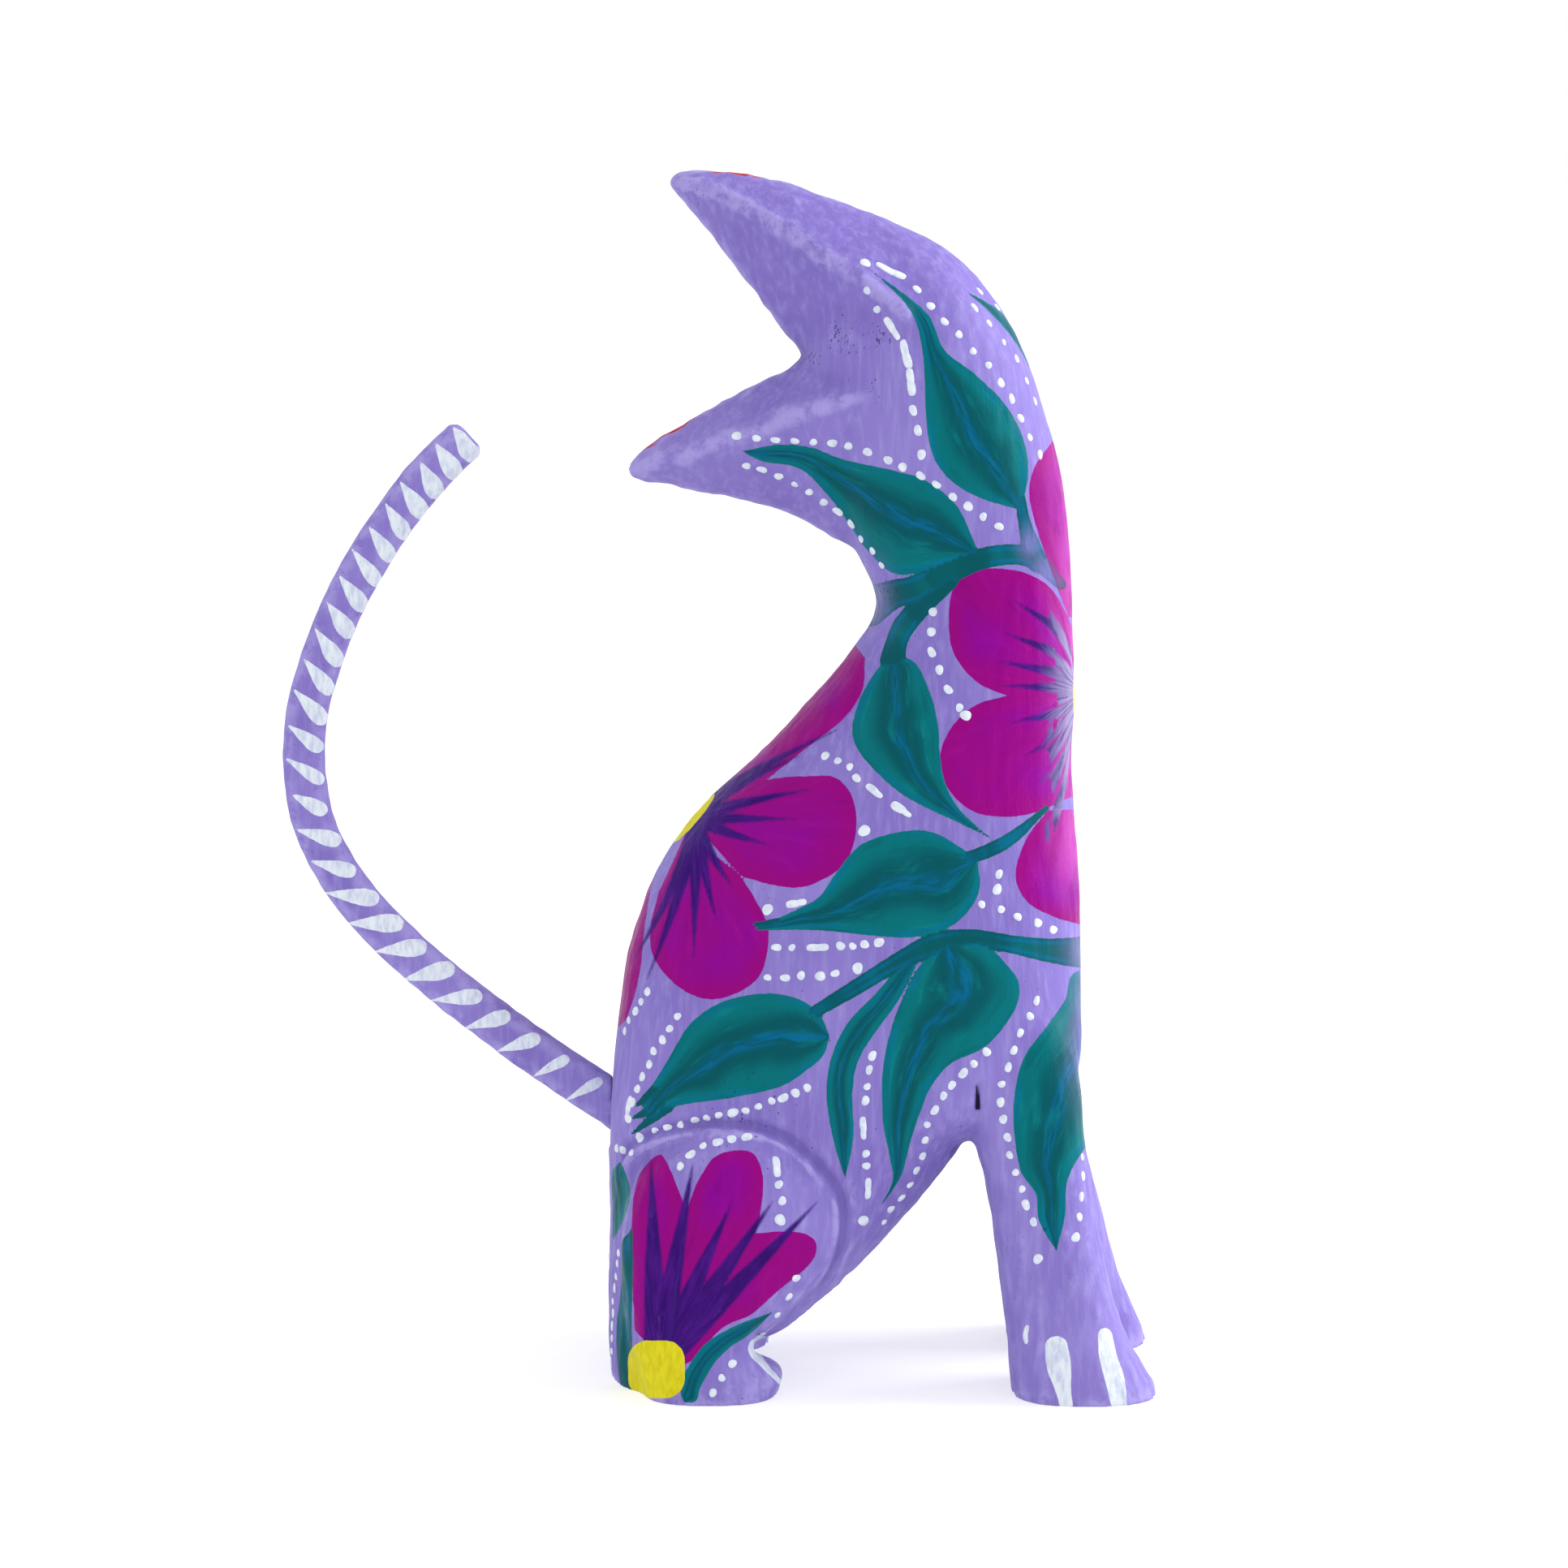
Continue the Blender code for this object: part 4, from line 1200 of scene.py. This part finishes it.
def paint_teardrops(canvas):
    """White drops in a row along the tail, closer together towards its tip."""
    line = smooth_line(TAIL_LINE)
    ends = np.cumsum(np.linspace(1.55, 0.95, TEARDROPS))
    lengths = np.concatenate([[0], np.cumsum(np.linalg.norm(np.diff(line, axis=0), axis=1))])
    stops = np.interp(ends, (ends[0], ends[-1]), (1.8, lengths[-1] - 1.2))
    draw = np.random.default_rng(SEED + 5)
    shapes = np.array(TEARDROP_SHAPES)
    for stop in stops:
        centre = np.array([np.interp(stop, lengths, column) for column in line.T])
        ahead = np.array([np.interp(stop + 1, lengths, column) for column in line.T])
        share = stop / lengths[-1]
        turn, length, half_width = (np.interp(share, shapes[:, 0], column) for column in shapes[:, 1:].T)
        angle = math.atan2(*(ahead - centre)[::-1]) + math.radians(turn + draw.normal(0, 3))
        heading = np.array([math.cos(angle), math.sin(angle)])
        size = draw.uniform(0.9, 1.08, 2)
        canvas.stroke(teardrop(centre, heading, length * size[0], half_width * size[1]), "white")


def make_tail():
    """The carved and painted tail, with its bare flat end."""
    piece = fine_copy("tail", "painted_tail", TAIL_VOXEL)
    mesh = piece.data
    relax(mesh, TAIL_RELAX_ROUNDS)
    carve_tail(mesh)
    points = places(mesh)
    outward = normals(mesh)
    canvas = Canvas(to_plane(points))
    paint_teardrops(canvas)
    canvas.mask(("white",), INSIDE - 7 * (1 - ease(np.abs(outward[:, 1]), 0.0, 0.12)))
    bare = ((points[:, 0] > seat_x() - 0.25) & (outward[:, 0] > 0.95)).astype(float)
    canvas.store(mesh, {"pores": 0.25 * bare, "bare": bare, "ridge": convexity(mesh)})
    return piece


def peg_profile(radius, length):
    """The dowel's outline along its axis, as distances from the axis and from its first end."""
    inset, eased = PEG_END[-1]
    profile = [(0.0, 0.0)] + [(radius - cut, along) for cut, along in PEG_END]
    for step in range(1, int((length - 2 * eased) / PEG_RING_STEP)):
        profile.append((radius - inset - PEG_RING_DEPTH * (step % 2), eased + step * PEG_RING_STEP))
    return profile + [(radius - cut, length - along) for cut, along in reversed(PEG_END)] + [(0.0, length)]


def make_peg():
    """The turned dowel: a round bar with eased ends and faint lathe rings."""
    low, high = (np.array(corner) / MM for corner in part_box("tail_peg"))
    axis = Vector(frame["joints"][0]["axis"]).normalized()
    radius = (high[1] - low[1]) / 2
    length = ((high[0] - low[0]) - 2 * radius * abs(axis.z)) / abs(axis.x)
    centre = Vector((low + high) / 2)
    first = Vector((0, 1, 0))
    second = axis.cross(first)
    profile = peg_profile(radius, length)
    sides = PEG_SIDES
    vertices = []
    for reach, along in profile:
        for step in range(sides):
            angle = 2 * math.pi * step / sides
            offset = first * (reach * math.cos(angle)) + second * (reach * math.sin(angle))
            vertices.append((centre + axis * (along - length / 2) + offset) * MM)
    faces = []
    for ring in range(len(profile) - 1):
        for step in range(sides):
            after = (step + 1) % sides
            base = ring * sides
            faces.append((base + step, base + after, base + sides + after, base + sides + step))
    mesh = bpy.data.meshes.new("turned_peg")
    mesh.from_pydata([tuple(v) for v in vertices], [], faces)
    mesh.validate()
    mesh.shade_smooth()
    return add_object("turned_peg", mesh)


# ---------------------------------------------------------------- materials


MATT_SPECULAR = 0.05


class Shader:
    """A material being built: each call adds one node and gives back its output."""

    def __init__(self, name):
        self.material = bpy.data.materials.new(name)
        self.material.use_nodes = True
        self.nodes = self.material.node_tree.nodes
        self.links = self.material.node_tree.links
        self.surface = self.nodes["Principled BSDF"]
        self.surface.inputs["Specular IOR Level"].default_value = MATT_SPECULAR
        self.place = self.nodes.new("ShaderNodeTexCoord").outputs["Object"]

    def feed(self, socket, value):
        """Links another node's output to a socket, or sets the socket to a colour or number."""
        if isinstance(value, bpy.types.NodeSocket):
            self.links.new(value, socket)
        elif isinstance(value, tuple) and len(value) == 3 and socket.type == "RGBA":
            socket.default_value = (*value, 1)
        else:
            socket.default_value = value

    def attribute(self, name, output="Fac"):
        """What the painter stored on the mesh under a name."""
        node = self.nodes.new("ShaderNodeAttribute")
        node.attribute_name = name
        return node.outputs[output]

    def math(self, operation, first, second=0.0):
        node = self.nodes.new("ShaderNodeMath")
        node.operation = operation
        self.feed(node.inputs[0], first)
        self.feed(node.inputs[1], second)
        return node.outputs[0]

    def times(self, first, second):
        return self.math("MULTIPLY", first, second)

    def plus(self, first, second):
        return self.math("ADD", first, second)

    def minus(self, first, second):
        return self.math("SUBTRACT", first, second)

    def larger(self, first, second):
        return self.math("MAXIMUM", first, second)

    def stretch(self, vector, scale):
        """A vector scaled along each of its axes."""
        node = self.nodes.new("ShaderNodeVectorMath")
        node.operation = "MULTIPLY"
        self.feed(node.inputs[0], vector)
        node.inputs[1].default_value = scale
        return node.outputs[0]

    def noise(self, size, vector=None, detail=3.0, roughness=0.55, scale=(1, 1, 1), unit=MM):
        """Noise from 0 to 1 with features about size millimetres across; vector is in metres, or in unit."""
        node = self.nodes.new("ShaderNodeTexNoise")
        self.feed(node.inputs["Vector"], self.stretch(self.place if vector is None else vector, scale))
        node.inputs["Scale"].default_value = 1 / (size * unit)
        node.inputs["Detail"].default_value = detail
        node.inputs["Roughness"].default_value = roughness
        return node.outputs["Fac"]

    def step(self, value, low, high, to_low=0.0, to_high=1.0):
        """A smooth step of value from low to high."""
        node = self.nodes.new("ShaderNodeMapRange")
        node.interpolation_type = "SMOOTHSTEP"
        self.feed(node.inputs["Value"], value)
        for name, number in (("From Min", low), ("From Max", high), ("To Min", to_low), ("To Max", to_high)):
            node.inputs[name].default_value = number
        return node.outputs["Result"]

    def mix(self, share, first, second):
        """A colour between two others."""
        node = self.nodes.new("ShaderNodeMix")
        node.data_type = "RGBA"
        self.feed(node.inputs[0], share)
        self.feed(node.inputs[6], first)
        self.feed(node.inputs[7], second)
        return node.outputs[2]

    def glaze(self, colour, over, share, value, low, high):
        """A colour with a share of another over it, where value steps from low to high."""
        return self.mix(self.times(self.step(value, low, high), share), colour, over)

    def mix_number(self, share, first, second):
        """A number between two others."""
        node = self.nodes.new("ShaderNodeMix")
        self.feed(node.inputs[0], share)
        self.feed(node.inputs[2], first)
        self.feed(node.inputs[3], second)
        return node.outputs[0]

    def coat(self, colour, roughness):
        """Gives the surface its colour and roughness."""
        self.feed(self.surface.inputs["Base Color"], colour)
        self.feed(self.surface.inputs["Roughness"], roughness)

    def bump(self, height, distance_mm):
        """Relief from a height of 0 to 1 that stands for distance_mm."""
        node = self.nodes.new("ShaderNodeBump")
        self.feed(node.inputs["Height"], height)
        node.inputs["Distance"].default_value = distance_mm * MM
        self.links.new(node.outputs["Normal"], self.surface.inputs["Normal"])

    def edge(self, kind, wobble, softness=0.06):
        """1 inside paint of a kind, 0 outside, with the hand's slight wobble."""
        depth = self.plus(self.attribute(kind), wobble)
        return self.step(depth, -softness, softness)


def lilac_ground(shader):
    """The lilac ground coat: broad drifts of tone, fine brush marks, lighter patches on high wood that are
    partly wear and partly a painted highlight, and painted shade in the hollows.
    """
    drift = shader.noise(26, detail=2)
    brush = shader.noise(1.1, detail=4, scale=(1, 1, 0.14))
    patches = shader.noise(3.2, detail=4, roughness=0.65)
    colour = shader.mix(shader.step(drift, 0.3, 0.7), LILAC_DEEP, LILAC)
    colour = shader.glaze(colour, LILAC_PALE, 0.4, brush, 0.42, 0.8)
    # Lighter lilac on high wood: partly wear, partly a painted highlight
    proud = shader.times(shader.step(shader.attribute("ridge"), 0.04, 0.3), shader.step(patches, 0.35, 0.6))
    colour = shader.mix(shader.times(proud, 0.75), colour, LILAC_PALE)
    # Darker lilac in the hollows: painted shade
    return shader.glaze(colour, LILAC_SHADE, 0.45, shader.attribute("ridge"), -0.05, -0.3)


def leaf_colour(shader):
    """Teal laid in long strokes, dark beside the midrib, with blue pulled along rib and edge."""
    flow = shader.attribute("leaf_flow", "Vector")
    parts = shader.nodes.new("ShaderNodeSeparateXYZ")
    shader.links.new(flow, parts.inputs[0])
    across = parts.outputs[0]
    streaks = shader.noise(0.9, flow, detail=4, scale=(1, 0.1, 1), unit=1)
    drift = shader.noise(9, flow, detail=1, scale=(0.3, 1, 1), unit=1)
    dry = shader.noise(0.35, flow, detail=2, scale=(1, 0.07, 1), unit=1)
    bow = shader.times(shader.minus(drift, 0.5), 1.6)
    off_rib = shader.math("ABSOLUTE", shader.plus(across, bow))
    shade = shader.plus(shader.step(off_rib, 0.4, 3.4), shader.times(bow, 0.35))
    colour = shader.mix(shader.step(shade, 0.1, 1.0), TEAL_DARK, TEAL)
    colour = shader.glaze(colour, TEAL_LIGHT, 0.6, streaks, 0.52, 0.8)
    colour = shader.glaze(colour, TEAL_DARK, 0.5, streaks, 0.44, 0.26)
    rib = shader.times(shader.step(off_rib, 0.9, 0.05), shader.step(dry, 0.36, 0.62))
    edge_gap = shader.math("ABSOLUTE", shader.minus(shader.attribute("leaf"), 0.75))
    rim = shader.times(shader.step(edge_gap, 0.5, 0.1), shader.step(streaks, 0.42, 0.62))
    blue = shader.larger(shader.times(rib, 0.72), shader.times(rim, 0.6))
    return shader.mix(blue, colour, TEAL_BLUE)


def petal_colour(shader):
    """Magenta at the rim, violet where the brush blended it towards the flower's middle, and paler pink as a
    painted sheen on the front of the chest.
    """
    flow = shader.attribute("petal_flow", "Vector")
    depth = shader.attribute("petal")
    blend = shader.noise(5, flow, detail=2, scale=(1, 0.35, 1), unit=1)
    bristles = shader.noise(0.8, flow, detail=4, scale=(1, 0.08, 1), unit=1)
    reach = shader.plus(depth, shader.times(shader.minus(blend, 0.5), 9.0))
    colour = shader.mix(shader.step(reach, 1.2, 6.0), MAGENTA, VIOLET)
    colour = shader.glaze(colour, MAGENTA_LIGHT, 0.4, bristles, 0.5, 0.85)
    colour = shader.glaze(colour, MAGENTA_DEEP, 0.45, bristles, 0.42, 0.24)
    # Paler pink on the front of the chest: a painted sheen
    painted_sheen = shader.times(shader.attribute("chest_sheen"), shader.step(bristles, 0.36, 0.6, 0.35, 1.0))
    return shader.mix(shader.times(painted_sheen, 0.6), colour, PINK)


def streak_colour(shader):
    """Indigo dragged outwards from the flower's middle, greyed by a painted sheen in dry patches where the
    wood stands proud and on the front of the chest.
    """
    flow = shader.attribute("petal_flow", "Vector")
    bristles = shader.noise(0.6, flow, detail=4, scale=(1, 0.1, 1), unit=1)
    dry = shader.noise(0.6, flow, detail=3, roughness=0.7, scale=(1, 0.3, 1), unit=1)
    colour = shader.mix(shader.step(bristles, 0.35, 0.75), INDIGO, INDIGO_LIGHT)
    # Grey on the streaks where the wood stands proud: a painted sheen
    proud = shader.times(shader.step(dry, 0.5, 0.66), shader.step(shader.attribute("ridge"), 0.1, 0.4))
    # Grey over the streaks on the front of the chest: a painted sheen
    painted_sheen = shader.times(shader.attribute("chest_sheen"), shader.step(bristles, 0.34, 0.56, 0.4, 1.2))
    return shader.mix(shader.larger(shader.times(proud, 0.5), painted_sheen), colour, LILAC_GREY)


def hand_coats(shader, strokes):
    """How far each coat covers, by name, its edges wobbling with the hand."""
    ripple = shader.noise(0.9, detail=3, scale=(1, 1, 0.5))
    wobble = shader.times(shader.minus(ripple, 0.5), 0.3)
    coats = {kind: shader.edge(kind, wobble) for kind in ("petal", "leaf", "white", "yellow", "red")}
    coats["streak"] = shader.times(shader.edge("streak", wobble, 0.3), 0.97)
    coats["white"] = shader.times(coats["white"], shader.step(strokes, 0.18, 0.5, 0.8, 1.0))
    coats["dark"] = shader.edge("dark", 0.0)
    return coats


def lay_coats(shader, coats, strokes):
    """Coat over coat, as the painter laid them."""
    colour = shader.mix(coats["petal"], lilac_ground(shader), petal_colour(shader))
    colour = shader.mix(coats["streak"], colour, streak_colour(shader))
    # Where a sheen is painted, the leaf paint covers less and the ground shows through
    cover = shader.minus(1.0, shader.times(shader.attribute("leaf_sheen"), 0.62))
    colour = shader.mix(shader.times(coats["leaf"], cover), colour, leaf_colour(shader))
    for kind, (low, high, deep, light) in PLAIN_COATS.items():
        colour = shader.mix(coats[kind], colour, shader.mix(shader.step(strokes, low, high), deep, light))
    return shader.mix(coats["dark"], colour, INK)


def coat_roughness(shader, coats, bare):
    """A soft sheen, smoothest on leaves and petals."""
    change = shader.noise(3.5, detail=3)
    rough = shader.step(change, 0.25, 0.75, 0.42, 0.56)
    rough = shader.mix_number(coats["leaf"], rough, shader.step(change, 0.25, 0.75, 0.34, 0.48))
    rough = shader.mix_number(coats["petal"], rough, shader.step(change, 0.25, 0.75, 0.36, 0.5))
    return shader.mix_number(bare, rough, 0.8)


def coat_relief(shader, coats, strokes, pore):
    """Height of the grain, the brush marks and the coats' own thickness."""
    grain = shader.noise(0.5, detail=5, roughness=0.62, scale=(1, 1, 0.2))
    mottle = shader.noise(0.7, detail=4, roughness=0.6)
    plants = shader.larger(coats["leaf"], coats["petal"])
    thick = shader.larger(plants, shader.larger(coats["white"], coats["yellow"]))
    height = shader.plus(shader.times(grain, 0.6), shader.times(strokes, 0.3))
    height = shader.plus(height, shader.times(mottle, shader.plus(0.35, shader.attribute("ears"))))
    height = shader.plus(height, shader.times(thick, 0.25))
    return shader.minus(height, shader.times(pore, 1.2))


def painted_wood():
    """All the paint on the figure, with open pores and the bare wood of the joint."""
    shader = Shader("painted_wood")
    strokes = shader.noise(0.8, detail=3, scale=(1, 1, 0.3))
    coats = hand_coats(shader, strokes)
    colour = lay_coats(shader, coats, strokes)
    specks = shader.noise(0.42, detail=2, scale=(1, 1, 0.6))
    pore = shader.step(shader.plus(specks, shader.times(shader.attribute("pores"), 0.17)), 0.74, 0.8)
    colour = shader.mix(shader.times(pore, 0.75), colour, PORE)
    bare = shader.attribute("bare")
    colour = shader.mix(bare, colour, wood_colour(shader))
    shader.coat(colour, coat_roughness(shader, coats, bare))
    shader.bump(coat_relief(shader, coats, strokes, pore), 0.14)
    return shader.material


def wood_colour(shader):
    """Pale soft wood with fine rings along the grain."""
    rings = shader.noise(0.8, detail=4, scale=(0.2, 1, 0.3))
    return shader.mix(shader.step(rings, 0.35, 0.7), WOOD_PALE, WOOD_DARK)


def bare_wood():
    """The turned dowel's unpainted wood."""
    shader = Shader("bare_wood")
    fibres = shader.noise(0.25, detail=4, scale=(0.2, 1, 0.3))
    shader.coat(wood_colour(shader), shader.step(fibres, 0.3, 0.7, 0.62, 0.8))
    shader.bump(fibres, 0.05)
    return shader.material


def dot_paint():
    """Thick white paint, faintly stained by the lilac under it."""
    shader = Shader("white_dot_paint")
    stain = shader.noise(1.2, detail=3)
    skin = shader.noise(0.5, detail=3)
    colour = shader.mix(shader.step(stain, 0.35, 0.7), WHITE, WHITE_COOL)
    shader.coat(colour, shader.step(skin, 0.3, 0.7, 0.38, 0.52))
    shader.bump(skin, 0.04)
    return shader.material


LILAC = srgb(132, 117, 189)
LILAC_DEEP = srgb(119, 103, 178)
LILAC_PALE = srgb(160, 150, 210)
LILAC_SHADE = srgb(102, 86, 160)
LILAC_GREY = srgb(146, 138, 178)
TEAL_DARK = srgb(0, 78, 86)
TEAL = srgb(0, 103, 109)
TEAL_LIGHT = srgb(4, 130, 134)
TEAL_BLUE = srgb(0, 97, 145)
MAGENTA = srgb(137, 0, 116)
MAGENTA_LIGHT = srgb(158, 14, 148)
MAGENTA_DEEP = srgb(110, 0, 98)
PINK = srgb(196, 84, 190)
VIOLET = srgb(126, 0, 140)
INDIGO = srgb(40, 8, 98)
INDIGO_LIGHT = srgb(68, 18, 124)
YELLOW = srgb(212, 204, 34)
YELLOW_DEEP = srgb(196, 184, 26)
WHITE = srgb(213, 220, 228)
WHITE_COOL = srgb(192, 200, 218)
RED = srgb(190, 26, 48)
RED_DEEP = srgb(154, 16, 40)
INK = srgb(28, 20, 52)
PORE = srgb(58, 44, 104)
WOOD_PALE = srgb(226, 200, 158)
WOOD_DARK = srgb(196, 160, 112)

# Coats of one colour: where the brush marks turn from the deep tone to the light one
PLAIN_COATS = {
    "red": (0.3, 0.7, RED_DEEP, RED),
    "white": (0.35, 0.65, WHITE_COOL, WHITE),
    "yellow": (0.3, 0.7, YELLOW_DEEP, YELLOW),
}


# ---------------------------------------------------------------- stage


FLOOR_REACH = 12.0
FLOOR_DULL = (0.5, 0.5, 0.51)
FLOOR_BRIGHT = (0.54, 0.54, 0.55)
FLOOR_GLOW = 0.55
FLOOR_ROUGHNESS = 0.9

# Soft panels: place and size in metres, power in watts
PANELS = {
    "key_panel": ((-0.7, -1.0, 1.2), (1.0, 1.0), 3.0),
    "right_panel": ((1.1, 0.15, 0.6), (0.7, 0.9), 15.0),
}

SENSOR_WIDTH = 36
CLIP_START = 0.05
CLIP_END = 20


def make_floor():
    """A very wide white floor, lit a little from within like a light table, out to the bright surround."""
    mesh = bpy.data.meshes.new("studio_floor")
    corners = [(x * FLOOR_REACH, y * FLOOR_REACH, 0) for x, y in ((-1, -1), (1, -1), (1, 1), (-1, 1))]
    mesh.from_pydata(corners, [], [(0, 1, 2, 3)])
    floor = add_object("studio_floor", mesh)
    shader = Shader("studio_paper")
    fibre = shader.noise(8, detail=2)
    shader.coat(shader.mix(fibre, FLOOR_DULL, FLOOR_BRIGHT), FLOOR_ROUGHNESS)
    shader.surface.inputs["Emission Color"].default_value = (1, 1, 1, 1)
    shader.surface.inputs["Emission Strength"].default_value = FLOOR_GLOW
    mesh.materials.append(shader.material)


def make_light(name, place, size, power):
    """A large soft panel that faces the figure."""
    data = bpy.data.lights.new(name, "AREA")
    data.shape = "RECTANGLE"
    data.size, data.size_y = size
    data.energy = power
    light = add_object(name, data)
    light.location = place
    light.rotation_mode = "QUATERNION"
    light.rotation_quaternion = (Vector(AIM) * MM - Vector(place)).to_track_quat("-Z", "Y")


def make_studio():
    """The floor, the soft panels and an even white surround."""
    make_floor()
    for name, (place, size, power) in PANELS.items():
        make_light(name, place, size, power)
    world = bpy.data.worlds.new("studio")
    world.use_nodes = True
    background = world.node_tree.nodes["Background"]
    background.inputs["Color"].default_value = (1, 1, 1, 1)
    background.inputs["Strength"].default_value = 1.0
    bpy.context.scene.world = world
    bpy.context.scene.view_settings.view_transform = "Standard"


def make_camera():
    """The photographer's camera, which is also the eye of the painter's plane."""
    data = bpy.data.cameras.new("camera")
    data.sensor_width = SENSOR_WIDTH
    data.lens = data.sensor_width / 2 / VIEW_HALF_WIDTH_TAN
    data.clip_start = CLIP_START
    data.clip_end = CLIP_END
    camera = add_object("camera", data)
    camera.location = Vector(EYE) * MM
    camera.rotation_mode = "QUATERNION"
    camera.rotation_quaternion = Vector(FORWARD).to_track_quat("-Z", "Y")
    bpy.context.scene.camera = camera


# ---------------------------------------------------------------- the whole figure

make_camera()
make_studio()

paint = painted_wood()
wood = bare_wood()

body, body_tree = make_body()
body.data.materials.append(paint)
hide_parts("carved_body")
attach(body, "figure")

dots = make_dots(body_tree)
dots.data.materials.append(dot_paint())
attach(dots, "figure")

tail = make_tail()
tail.data.materials.append(paint)
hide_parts("tail")
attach(tail, "tail")

peg = make_peg()
peg.data.materials.append(wood)
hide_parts("tail_peg")
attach(peg, "tail")
